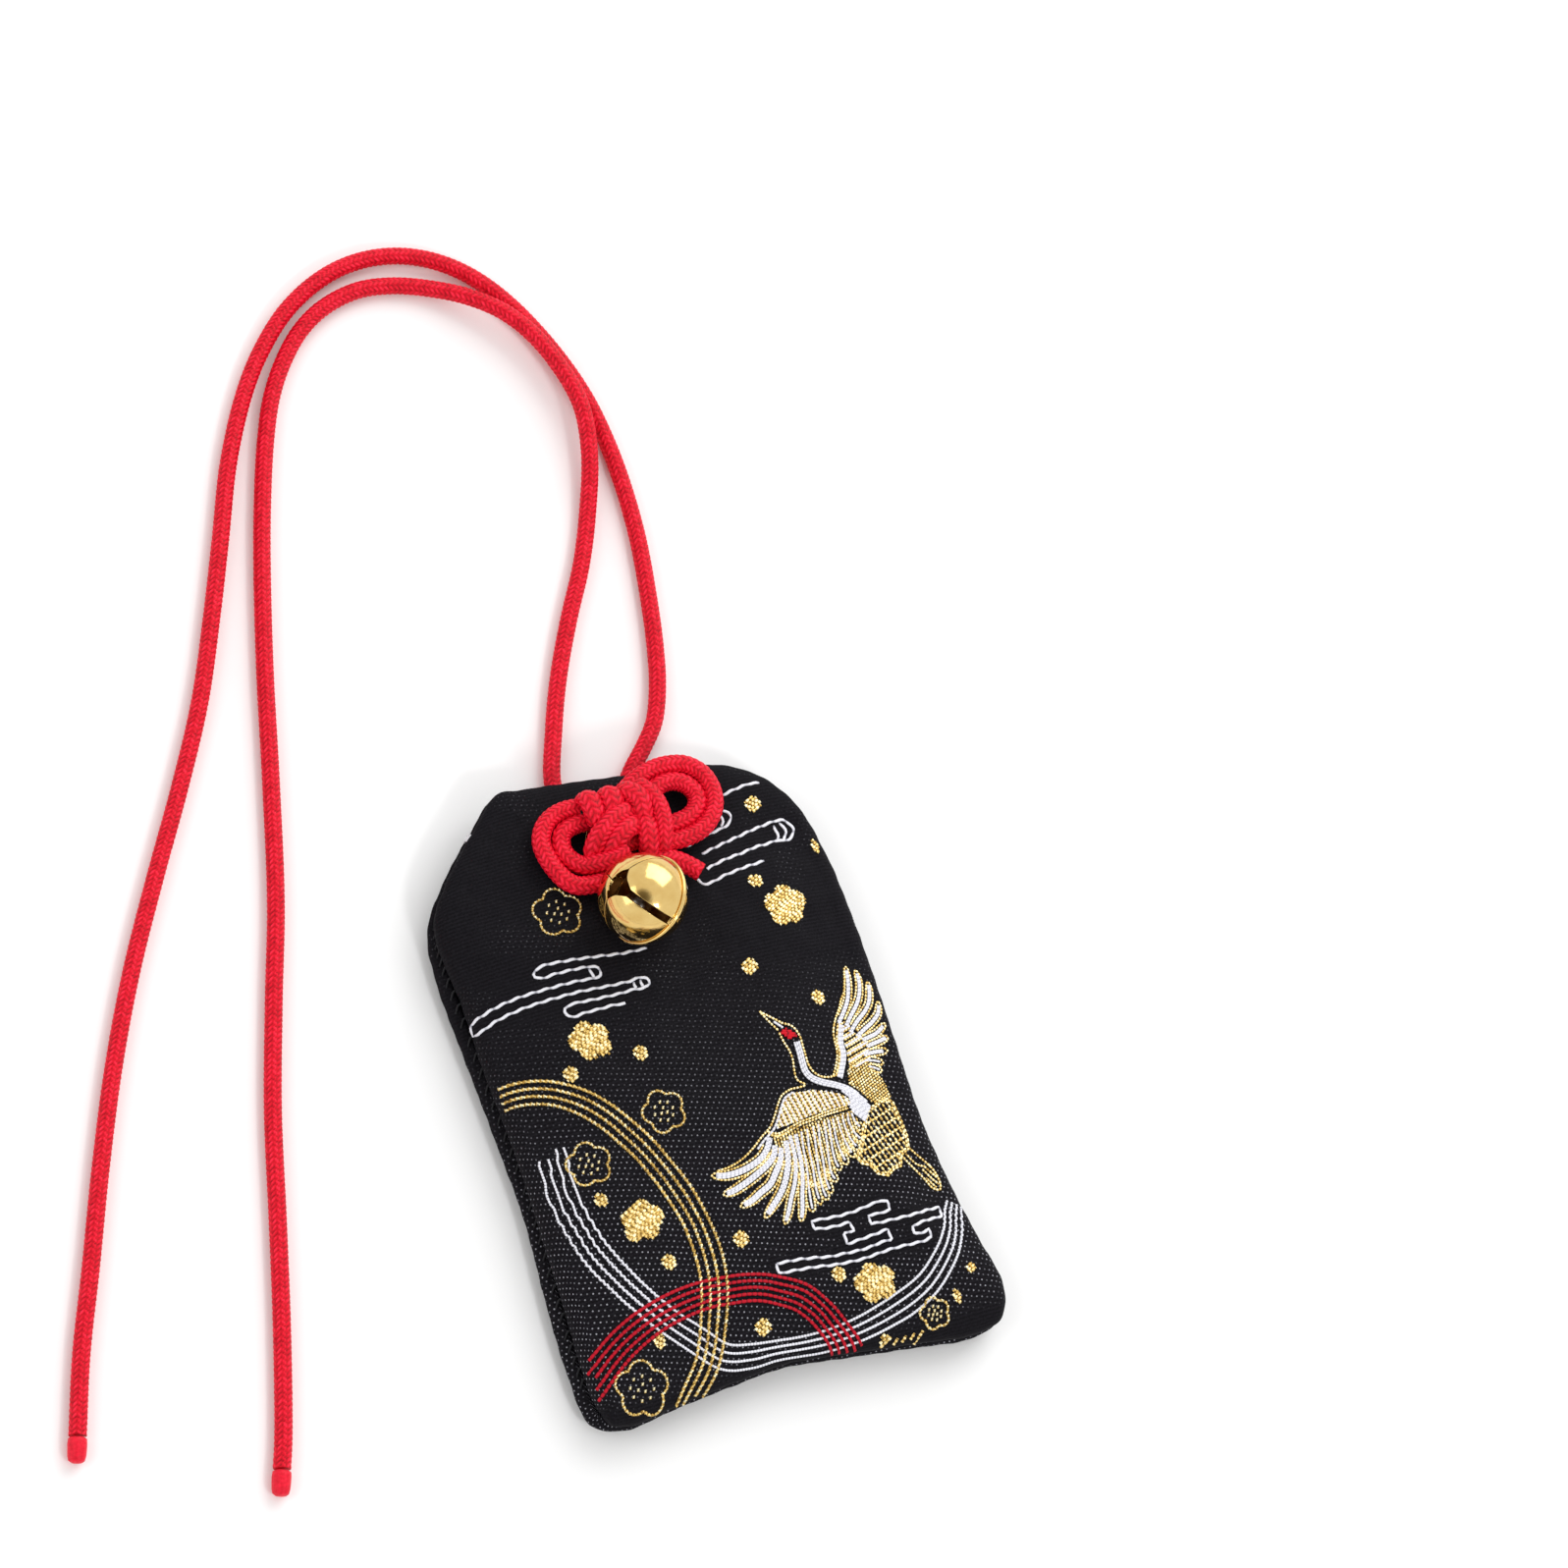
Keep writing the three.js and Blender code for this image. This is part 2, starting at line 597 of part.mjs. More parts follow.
add("bell_hanging_wire", hangingWireGeometry, brass, knotFrame);

// Bell: its axis is +Z in its own frame, from the shank to the slots, with its centre at the origin
const bellAxis = new THREE.Vector3(-0.716, 0.328, 0.616).normalize();
const slotSide = new THREE.Vector3(0.162, -0.78, 0.604).normalize();
const wireAtShank = new THREE.Vector3(0.652, 0, 0.758);
const shankPoint = hangingWirePoints[8].clone();
knotFrame.updateMatrixWorld();
shankPoint.applyMatrix4(knotFrame.matrixWorld);
const bell = new THREE.Group();
bell.position.copy(shankPoint).addScaledVector(bellAxis, bellHang);
const slotAcross = new THREE.Vector3().crossVectors(bellAxis, slotSide);
bell.quaternion.setFromRotationMatrix(new THREE.Matrix4().makeBasis(slotSide, slotAcross, bellAxis));
charm.add(bell);

// A half ball shell from its rim at a height above the middle to its pole.
function halfBall(outerRadius, wall, rimHeight, steps) {
  const profile = [];
  const innerRadius = outerRadius - wall;
  const outerStart = Math.asin(rimHeight / outerRadius);
  const innerStart = Math.asin(rimHeight / innerRadius);
  for (let i = 0; i <= steps; i++) {
    const angle = outerStart + ((Math.PI / 2 - outerStart) * i) / steps;
    profile.push(new THREE.Vector2(i === steps ? 0 : outerRadius * Math.cos(angle), outerRadius * Math.sin(angle)));
  }
  for (let i = steps; i >= 0; i--) {
    const angle = innerStart + ((Math.PI / 2 - innerStart) * i) / steps;
    profile.push(new THREE.Vector2(i === steps ? 0 : innerRadius * Math.cos(angle), innerRadius * Math.sin(angle)));
  }
  profile.push(profile[0].clone());
  const geometry = new THREE.LatheGeometry(profile, 32);
  geometry.rotateX(Math.PI / 2);
  return geometry;
}

function slotBlade(width, length, startX) {
  const blade = new THREE.BoxGeometry(length, width, bellRadius * 2);
  blade.translate(startX + length / 2, 0, slotFloor + bellRadius);
  return blade;
}

const bladeReach = bellRadius * 1.5;
const wideBlade = slotBlade(wideSlot, bladeReach, 0);
const narrowBlade = slotBlade(narrowSlot, bladeReach, -bladeReach);
const crossBlade = slotBlade(narrowSlot, bladeReach * 2, -bladeReach);
crossBlade.rotateZ(Math.PI / 2);
const kite = new THREE.Shape();
kite.moveTo(petalOpeningReach, 0);
kite.lineTo(0, petalOpeningReach);
kite.lineTo(-petalOpeningBack, 0);
kite.lineTo(0, -petalOpeningReach);
kite.closePath();
const petalOpening = new THREE.ExtrudeGeometry(kite, { depth: bellRadius, bevelEnabled: false });
petalOpening.translate(0, 0, bellRadius / 2);
const slotTools = [wideBlade, narrowBlade, crossBlade, petalOpening];
const slottedHalf = halfBall(bellRadius, bellWall, bellSeamHeight + bellSeamGap / 2, 8);
add("bell_slotted_shell", cutAway(slottedHalf, slotTools), brass, bell);

const shankHalf = halfBall(bellRadius, bellWall, bellSeamGap / 2 - bellSeamHeight, 6);
shankHalf.rotateX(Math.PI);
add("bell_shank_shell", shankHalf, brass, bell);

// Lip: the rim of the slotted half is rolled over the other half, as a thin band round the seam
const lipInner = bellRadius + bellSeamGap / 2;
const lipProfile = [
  new THREE.Vector2(lipInner, -bellLipHeight / 2),
  new THREE.Vector2(lipInner + bellLipWall, -bellLipHeight / 4),
  new THREE.Vector2(lipInner + bellLipWall, bellLipHeight / 4),
  new THREE.Vector2(lipInner, bellLipHeight / 2),
  new THREE.Vector2(lipInner, -bellLipHeight / 2),
];
const lipGeometry = new THREE.LatheGeometry(lipProfile, 32);
lipGeometry.rotateX(Math.PI / 2);
lipGeometry.translate(0, 0, bellSeamHeight);
add("bell_rolled_lip", lipGeometry, brass, bell);

// Shank: a hoop of wire whose two feet stand on the closed half, across the hanging wire
const shankArc = [];
const shankFoot = -Math.sqrt(bellRadius ** 2 - shankLoopRadius ** 2) - shankFootGap;
shankArc.push(new THREE.Vector3(0, -shankLoopRadius, shankFoot - shankWire / 2));
for (let i = 0; i <= 8; i++) {
  const angle = Math.PI + (Math.PI * i) / 8;
  const y = shankLoopRadius * Math.cos(angle);
  const z = -shankLoopCentre + shankLoopRadius * Math.sin(angle);
  shankArc.push(new THREE.Vector3(0, y, z));
}
shankArc.push(new THREE.Vector3(0, shankLoopRadius, shankFoot - shankWire / 2));
const shankGeometry = tube(shankArc, shankWire, threadSides + 1, shankWire * 1.5);
shankGeometry.rotateZ(Math.atan2(wireAtShank.dot(slotAcross), wireAtShank.dot(slotSide)));
add("bell_shank", shankGeometry, brass, bell);

// Pellet: the loose ball that makes the bell ring, resting in the lowest place inside
const pelletGeometry = new THREE.IcosahedronGeometry(pelletRadius, 2);
const pelletDrop = bellRadius - bellWall - pelletRadius - pelletGap;
pelletGeometry.translate(bell.position.x, bell.position.y, bell.position.z - pelletDrop);
add("bell_pellet", pelletGeometry, steel);

// The origin goes to the middle of the pouch's outline, on the table.
const pouchMiddle = new THREE.Box3().setFromObject(frontPanel).getCenter(new THREE.Vector3());
charm.position.set(-pouchMiddle.x, -pouchMiddle.y, 0);

export default charm;
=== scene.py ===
import math

import bpy
import numpy as np
from mathutils import Matrix, Vector, noise
from mathutils.bvhtree import BVHTree
from mathutils.kdtree import KDTree


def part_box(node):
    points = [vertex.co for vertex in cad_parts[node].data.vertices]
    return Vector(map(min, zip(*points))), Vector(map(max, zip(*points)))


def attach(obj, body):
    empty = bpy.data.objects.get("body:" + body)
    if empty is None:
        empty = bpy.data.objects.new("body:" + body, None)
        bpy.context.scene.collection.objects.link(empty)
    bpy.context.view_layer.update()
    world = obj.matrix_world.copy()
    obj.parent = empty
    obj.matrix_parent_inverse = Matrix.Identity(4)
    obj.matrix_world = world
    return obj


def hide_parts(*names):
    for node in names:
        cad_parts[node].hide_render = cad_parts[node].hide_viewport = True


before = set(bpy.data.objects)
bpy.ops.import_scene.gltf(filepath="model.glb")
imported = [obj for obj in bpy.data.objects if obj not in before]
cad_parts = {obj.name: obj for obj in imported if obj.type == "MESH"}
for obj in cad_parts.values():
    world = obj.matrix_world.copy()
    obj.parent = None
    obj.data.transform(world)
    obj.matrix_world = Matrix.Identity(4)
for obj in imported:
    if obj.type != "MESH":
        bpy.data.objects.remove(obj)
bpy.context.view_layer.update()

# Camera
# A long lens looks down on the charm from beyond its lower left corner, so that the pouch
# leans to the left in the picture and its left and bottom edges show.
mm = 0.001
view_right = Vector((0.9053, -0.3211, 0.2781))
view_up = Vector((0.2237, 0.9169, 0.3305))
view_back = view_right.cross(view_up).normalized()
view_right = view_up.cross(view_back).normalized()
view_up = view_back.cross(view_right)
view_target = Vector((21.906, 30.770, 0)) * mm
view_distance = 700 * mm
view_width = 177.44 * mm


def linked_object(name, data):
    """A new object in the scene."""
    made = bpy.data.objects.new(name, data)
    bpy.context.scene.collection.objects.link(made)
    return made


camera_data = bpy.data.cameras.new("camera")
camera_data.sensor_width = 36
camera_data.lens = camera_data.sensor_width * view_distance / view_width
camera_data.clip_start = 10 * mm
camera = linked_object("camera", camera_data)
turn = Matrix((view_right, view_up, view_back)).transposed().to_4x4()
camera.matrix_world = Matrix.Translation(view_target + view_back * view_distance) @ turn
bpy.context.scene.camera = camera


# Free strands
# The two ends of one red nylon cord, 2 mm thick, braided round in ten columns of slanted yarns. They
# leave the pouch's mouth underneath and lie on the table in an arch, where one crosses over the other.
cord_diameter = 2 * mm
lying_height = 1.05  # of each place without a height
yarn_roundness = 0.7
yarn_numbers_apart = 977.0  # keeps the columns' random numbers apart
pouch_middle = Vector((0.306, 0.17, 0)) * mm
strand_routes = {
    "right_cord_strand": [
        (2.84, 34.27), (4.4, 36.2), (6.6, 38.4), (8.8, 41), (10.6, 45), (12, 50), (13.2, 56), (14.2, 62.5),
        (14.6, 68.5), (14.5, 74.5), (13.7, 80.7), (11.6, 87.4), (8.4, 93.8), (5.1, 97.9), (1.3, 100.6),
        (-2.8, 102), (-7.2, 102.2), (-11.8, 101.1), (-16.9, 98.3), (-21.4, 94.1), (-25, 89.4), (-29.2, 82),
        (-33, 73.2), (-36.6, 65), (-41.1, 55.4), (-46.3, 46.4), (-52.1, 37.1), (-57.9, 27.4), (-63, 17.6),
        (-67.8, 7), (-72, -3), (-75.8, -11.8), (-78.8, -20.1),
    ],
    "left_cord_strand": [
        (-4.73, 34.85), (-5.1, 36.5), (-2.9, 42.8), (-0.3, 48.7), (3.1, 55), (6.7, 61), (9.5, 67, 1.2),
        (11.6, 73.3, 2.2), (12.3, 79, 2.9), (11.2, 84.5, 3), (9.3, 88.9, 3), (6.9, 92.2, 2.8), (3.7, 95, 2.1),
        (0.1, 97.1, 1.3), (-3.7, 98.4), (-8, 98.8), (-12.5, 97.7), (-16.2, 95.5), (-19.4, 92.2), (-22, 88.4),
        (-24.3, 83.5), (-27.1, 76), (-29.6, 68.3), (-32.9, 57), (-36.3, 44.2), (-40, 31), (-43.8, 20),
        (-47.6, 8.5), (-50.9, -3.5), (-54.2, -15.2), (-57.6, -26.2), (-58.8, -29.4),
    ],
}


def smooth_curve(points, shares, closed=False):
    """Places at shares of a centripetal curve through given points."""
    points = [np.array(p, float) for p in points]
    count = len(points)
    gaps = count if closed else count - 1
    if not closed:
        points = [2 * points[0] - points[1], *points, 2 * points[-1] - points[-2]]
    places = []
    for share in shares:
        first = min(int(share * gaps), gaps - 1)
        t = share * gaps - first
        if closed:
            a, b, c, d = (points[(first + k) % count] for k in (-1, 0, 1, 2))
        else:
            a, b, c, d = points[first:first + 4]
        ab, bc, cd = (math.sqrt(np.linalg.norm(q - p)) for p, q in ((a, b), (b, c), (c, d)))
        start = bc * ((b - a) / ab - (c - a) / (ab + bc) + (c - b) / bc)
        stop = bc * ((c - b) / bc - (d - b) / (bc + cd) + (d - c) / cd)
        square = 3 * (c - b) - 2 * start - stop
        cube = 2 * (b - c) + start + stop
        places.append(b + t * (start + t * (square + t * cube)))
    return np.array(places)


def smooth_route(points, parts=8):
    """A fine route through points, in metres."""
    steps = (len(points) - 1) * parts
    return [Vector(p) for p in smooth_curve(points, np.linspace(0, 1, steps + 1))]


def pouch_place(x, y, z):
    """A place in metres from pouch millimetres."""
    return Vector((x, y, z)) * mm + pouch_middle


def feed(tree, socket, value):
    """Gives a node's input a value: a Field is linked and anything else is set."""
    if isinstance(value, Field):
        value = value.value
    if isinstance(value, bpy.types.NodeSocket):
        tree.links.new(value, socket)
    else:
        socket.default_value = value


class Field:
    """A value in a node tree. Plain arithmetic on it makes Math nodes."""

    def __init__(self, tree, value):
        self.tree = tree
        self.value = value

    def math(self, operation, *others):
        """The result of a Math node on this value and others."""
        node = self.tree.nodes.new("ShaderNodeMath")
        node.operation = operation
        for socket, value in zip(node.inputs, (self, *others)):
            feed(self.tree, socket, value)
        return Field(self.tree, node.outputs[0])

    def scaled(self, factor, offset):
        """This value times a factor plus an offset."""
        return self.math("MULTIPLY_ADD", factor, offset)

    def __add__(self, other):
        return self.math("ADD", other)

    def __sub__(self, other):
        return self.math("SUBTRACT", other)

    def __mul__(self, other):
        return self.math("MULTIPLY", other)

    def __truediv__(self, other):
        return self.math("DIVIDE", other)

    def __mod__(self, other):
        return self.math("MODULO", other)


def add_node(tree, kind, inputs=None, output=0, **settings):
    """One output of a new node with its settings and inputs, as a Field."""
    node = tree.nodes.new(kind)
    for name, value in settings.items():
        setattr(node, name, value)
    for name, value in (inputs or {}).items():
        feed(tree, node.inputs[name], value)
    return Field(tree, node.outputs[output])


def new_tree(name, sizes, counts):
    """A Geometry Nodes tree with named inputs. It returns the tree and its inputs as Fields."""
    tree = bpy.data.node_groups.new(name, "GeometryNodeTree")
    sockets = [("Geometry", "Geometry"), *((label, "Float") for label in sizes)]
    sockets += [*((label, "Int") for label in counts), ("Material", "Material")]
    for label, kind in sockets:
        tree.interface.new_socket(label, in_out="INPUT", socket_type="NodeSocket" + kind)
    tree.interface.new_socket("Geometry", in_out="OUTPUT", socket_type="NodeSocketGeometry")
    outputs = tree.nodes.new("NodeGroupInput").outputs
    return tree, {label: Field(tree, outputs[label]) for label, _ in sockets}


def close_tree(tree, given, geometry):
    """Ends a tree: smooth faces, real geometry and its material."""
    smooth = add_node(tree, "GeometryNodeSetShadeSmooth", {"Geometry": geometry})
    real = add_node(tree, "GeometryNodeRealizeInstances", {"Geometry": smooth})
    painted = add_node(
        tree, "GeometryNodeSetMaterial", {"Geometry": real, "Material": given["Material"]}
    )
    feed(tree, tree.nodes.new("NodeGroupOutput").inputs[0], painted)
    return tree


def capture(tree, geometry, *values, kind="FLOAT"):
    """Stores values on geometry for later nodes. It returns the geometry and the stored values."""
    node = tree.nodes.new("GeometryNodeCaptureAttribute")
    feed(tree, node.inputs["Geometry"], geometry)
    for number, value in enumerate(values, 1):
        node.capture_items.new(kind, f"value {number}")
        feed(tree, node.inputs[number], value)
    return [Field(tree, output) for output in node.outputs[:len(values) + 1]]


def line_rings(tree, given, level=True):
    """The given line as a curve with a ring at every step. A level one keeps its normal sideways."""
    curve = add_node(tree, "GeometryNodeMeshToCurve", {"Mesh": given["Geometry"]})
    if level:
        curve = add_node(tree, "GeometryNodeSetCurveNormal", {"Curve": curve}, mode="Z_UP")
    return add_node(
        tree, "GeometryNodeResampleCurve", {"Curve": curve, "Length": given["Step"]}, mode="LENGTH"
    )


def circle_section(tree, given, radius):
    """A circle with the given number of sides."""
    inputs = {"Resolution": given["Sides"], "Radius": radius}
    return add_node(tree, "GeometryNodeCurvePrimitiveCircle", inputs)


def oval_section(tree, given, circle):
    """A circle of unit diameter at the given width and height."""
    size = add_node(tree, "ShaderNodeCombineXYZ", {"X": given["Width"], "Y": given["Height"], "Z": 1.0})
    return add_node(tree, "GeometryNodeTransform", {"Geometry": circle, "Scale": size})


def swept(tree, curve, section, scale=1.0):
    """A closed tube with a section along a curve."""
    inputs = {"Curve": curve, "Profile Curve": section, "Scale": scale, "Fill Caps": True}
    return add_node(tree, "GeometryNodeCurveToMesh", inputs)


def pushed(tree, geometry, amount):
    """Geometry whose points are moved along their normals."""
    normal = add_node(tree, "GeometryNodeInputNormal")
    offset = add_node(tree, "ShaderNodeVectorMath", {"Vector": normal, "Scale": amount}, operation="SCALE")
    return add_node(tree, "GeometryNodeSetPosition", {"Geometry": geometry, "Offset": offset})


def named(tree, geometry, name, value):
    """Geometry that carries a value under a name, for its material."""
    inputs = {"Geometry": geometry, "Name": name, "Value": value}
    return add_node(tree, "GeometryNodeStoreNamedAttribute", inputs)


def random_value(tree, number, seed):
    """A random share for a whole number."""
    return add_node(
        tree, "FunctionNodeRandomValue", {"ID": number, "Seed": seed}, 1, data_type="FLOAT"
    )


def evaluated_mesh(piece):
    """The mesh that an object's modifiers make."""
    return bpy.data.meshes.new_from_object(piece.evaluated_get(bpy.context.evaluated_depsgraph_get()))


def grown_piece(name, tree, runs, inputs, rows=None):
    """A plain mesh that a tree makes along runs of points."""
    edges = []
    start = 0
    for run in runs:
        edges += [(start + i, start + i + 1) for i in range(len(run) - 1)]
        start += len(run)
    host_mesh = bpy.data.meshes.new(name + "_line")
    host_mesh.from_pydata([tuple(p) for run in runs for p in run], edges, [])
    if rows is not None:
        attribute = host_mesh.attributes.new("row", "FLOAT", "POINT")
        attribute.data.foreach_set("value", [row for run, row in zip(runs, rows) for _ in run])
    host = linked_object(name + "_line", host_mesh)
    modifier = host.modifiers.new(tree.name, "NODES")
    modifier.node_group = tree
    for item in tree.interface.items_tree:
        if item.in_out == "INPUT" and item.name in inputs:
            modifier[item.identifier] = inputs[item.name]
    mesh = evaluated_mesh(host)
    host.modifiers.remove(modifier)
    bpy.data.objects.remove(host)
    mesh.name = name
    return linked_object(name, mesh)


def make_braid_tree():
    """A round braid: a tube along a curve whose skin rises and falls as its slanted yarns do."""
    sizes = ("Width", "Height", "Step", "Yarn Step", "Yarn Lean", "Yarn Depth")
    tree, given = new_tree("braided cord", sizes, ("Sides", "Columns"))
    length = add_node(tree, "GeometryNodeSplineParameter", output="Length")
    curve, along = capture(tree, line_rings(tree, given), length)
    index = add_node(tree, "GeometryNodeInputIndex")
    circle, side = capture(tree, circle_section(tree, given, 0.5), index, kind="INT")
    skin = swept(tree, curve, oval_section(tree, given, circle))
    place = side / given["Sides"] * given["Columns"]
    column = (place + 0.001).math("FLOOR")
    across = place - column - 0.5
    hand = (column % 2.0).scaled(2.0, -1.0)
    phase = along / given["Yarn Step"] + hand * across * given["Yarn Lean"]
    crest = ((phase.math("FRACT") - 0.5) * math.pi).math("COSINE").math("POWER", yarn_roundness)
    border = (across * 2.0).math("ABSOLUTE").math("POWER", 3.0)
    height = crest * border.scaled(-0.35, 1.0)
    tone = random_value(tree, phase.math("FLOOR") + column * yarn_numbers_apart, 5)
    # The yarn height also goes to the material, for its painted shade and painted highlight.
    marked = named(tree, named(tree, skin, "yarn_height", height), "yarn_tone", tone)
    return close_tree(tree, given, pushed(tree, marked, (height - 1.0) * given["Yarn Depth"]))


def new_material(name, **sockets):
    """A material whose Principled shader has these values. It returns it, its tree and the shader."""
    material = bpy.data.materials.new(name)
    material.use_nodes = True
    tree = material.node_tree
    shader = tree.nodes["Principled BSDF"]
    for label, value in sockets.items():
        shader.inputs[label.replace("_", " ")].default_value = value
    return material, tree, shader


def colour_ramp(tree, factor, stops):
    """The colour of a ramp with stops of place and colour."""
    ramp = add_node(tree, "ShaderNodeValToRGB", {"Fac": factor})
    elements = ramp.value.node.color_ramp.elements
    while len(elements) < len(stops):
        elements.new(0.5)
    for element, (place, colour) in zip(elements, stops):
        element.position = place
        element.color = (*colour, 1)
    return ramp


def object_noise(tree, size, detail=2.0, roughness=0.5):
    """Noise on the object's own coordinates with grains of a size in metres."""
    where = add_node(tree, "ShaderNodeTexCoord", output="Object")
    inputs = {"Vector": where, "Scale": 1 / size, "Detail": detail, "Roughness": roughness}
    return add_node(tree, "ShaderNodeTexNoise", inputs)


def carried(tree, name, output="Fac"):
    """A value that the mesh carries under a name."""
    return add_node(tree, "ShaderNodeAttribute", output=output, attribute_name=name)


def dress(tree, shader, colour, height=None, distance=0.0, strength=1.0):
    """Gives a shader its colour, and bump from a height."""
    feed(tree, shader.inputs["Base Color"], colour)
    if height is not None:
        inputs = {"Height": height, "Distance": distance, "Strength": strength}
        feed(tree, shader.inputs["Normal"], add_node(tree, "ShaderNodeBump", inputs))


def mixed(tree, factor, first, second, blend="MIX"):
    """Two colours mixed."""
    mix = add_node(tree, "ShaderNodeMix", output=2, data_type="RGBA", blend_type=blend)
    for number, value in ((0, factor), (6, first), (7, second)):
        feed(tree, mix.value.node.inputs[number], (*value, 1) if isinstance(value, tuple) else value)
    return mix


def make_red_braid():
    """Glossy red yarn: a painted highlight on the crests and painted shade, deep red, where one yarn goes
    under the next.
    """
    material, tree, shader = new_material("red_braid", Roughness=0.5, Specular_IOR_Level=0.18)
    grain = object_noise(tree, 0.14 * mm, 3.0, 0.65)
    # The yarn height gives painted shade in the dips and a painted highlight on the crests; the grain and
    # each yarn's random tone are the yarn's own.
    tone = carried(tree, "yarn_height") + grain.scaled(0.8, -0.4)
    tone += carried(tree, "yarn_tone").scaled(0.3, -0.15)
    stops = [
        (0.05, (0.26, 0.0, 0.006)), (0.4, (0.55, 0.001, 0.012)), (0.8, (0.82, 0.004, 0.024)),
        (1.0, (1.0, 0.02, 0.06)),
    ]
    dress(tree, shader, colour_ramp(tree, tone, stops), grain, 0.05 * mm, 0.5)
    return material


braid_tree = make_braid_tree()
red_braid = make_red_braid()


def braided_cord(name, node, route, width, height, step, sides=30):
    """One run of the braided cord along a route in metres, in place of a CAD node."""
    piece = grown_piece(name, braid_tree, [route], {
        "Width": width, "Height": height, "Step": step, "Sides": sides, "Columns": 10,
        "Yarn Step": 0.62 * mm, "Yarn Lean": 0.85, "Yarn Depth": 0.15 * mm, "Material": red_braid,
    })
    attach(piece, "charm")
    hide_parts(node)
    return piece


strand_ends = {}
for name, points in strand_routes.items():
    route = smooth_route([pouch_place(*(*p, lying_height)[:3]) for p in points])
    strand = braided_cord(name + "_braid", name, route, cord_diameter, cord_diameter, 0.14 * mm)
    length = sum((b - a).length for a, b in zip(route, route[1:]))
    strand_ends[name] = route[-1], (route[-1] - route[-2]).normalized()


# Sealed tips
# Each strand's end is dipped and melted into a smooth red bead with a slightly uneven rim, so
# that the braid doesn't come apart. It is a little thicker than the cord.
tip_stations = [
    (-0.1, 0.86), (0.05, 1.02), (0.5, 1.05), (1.2, 1.04), (1.9, 1), (2.35, 0.88), (2.55, 0.62), (2.62, 0.3),
]
tip_sides = 32
tip_start = 0.3
tip_unevenness = 0.03
tip_bulge = 0.03


def mesh_piece(name, points, faces, material, smooth=True):
    """A piece from points in metres and faces."""
    mesh = bpy.data.meshes.new(name)
    mesh.from_pydata([tuple(p) for p in points], [], faces)
    mesh.validate()
    mesh.materials.append(material)
    mesh.polygons.foreach_set("use_smooth", [smooth] * len(mesh.polygons))
    return linked_object(name, mesh)


def grid_faces(rows, columns, around=False, closed=False, turned=False):
    """Faces between rows of points. Around joins the ends of each row, and closed the outer rows."""
    faces = []
    for k in range(rows if closed else rows - 1):
        near, far = k * columns, (k + 1) % rows * columns
        for i in range(columns if around else columns - 1):
            j = (i + 1) % columns
            face = (near + i, far + i, far + j, near + j)
            faces.append((face[0], *face[:0:-1]) if turned else face)
    return faces


def fan_faces(rows, around, last_pole, first_pole=None):
    """Faces round rings of points, with fans that close the skin at its poles."""
    faces = grid_faces(rows, around, around=True)
    last = (rows - 1) * around
    for i in range(around):
        j = (i + 1) % around
        if first_pole is not None:
            faces.append((first_pole, i, j))
        faces.append((last_pole, last + j, last + i))
    return faces


def grainy_material(name, grain, stops, bump=(), **sockets):
    """A material whose colour and bump follow one noise, from its size, detail and roughness."""
    material, tree, shader = new_material(name, **sockets)
    height = object_noise(tree, *grain)
    dress(tree, shader, colour_ramp(tree, height, stops), height if bump else None, *bump)
    return material


def enrol(piece, body, node):
    """Says which body a piece moves with, which CAD node it replaces."""
    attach(piece, body)
    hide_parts(node)


# Nylon melted at the cord's end is smoother than the yarn, with small pits.
melted_red = grainy_material(
    "melted_red", (0.35 * mm, 3.0), [(0.3, (0.66, 0.004, 0.02)), (0.7, (0.9, 0.012, 0.04))],
    (0.1 * mm, 0.6), Roughness=0.45, Specular_IOR_Level=0.2,
)
for name, (end, along) in strand_ends.items():
    side = along.cross(Vector((0, 0, 1))).normalized()
    up = side.cross(along)
    start = end + along * tip_start * mm
    points = []
    for station, radius in tip_stations:
        for i in range(tip_sides):
            angle = 2 * math.pi * i / tip_sides
            out = side * math.cos(angle) + up * math.sin(angle)
            uneven = 1 + tip_unevenness * noise.noise(Vector((station * 2, 3 * out.x, 3 * out.z)))
            points.append(start + along * station * mm + out * radius * uneven * mm)
    poles = tip_stations[0][0], tip_stations[-1][0] + tip_bulge
    points += [start + along * station * mm for station in poles]
    faces = fan_faces(len(tip_stations), tip_sides, len(points) - 1, len(points) - 2)
    tip = mesh_piece(name.replace("strand", "end_bead"), points, faces, melted_red)
    enrol(tip, "charm", name.replace("strand", "sealed_tip"))


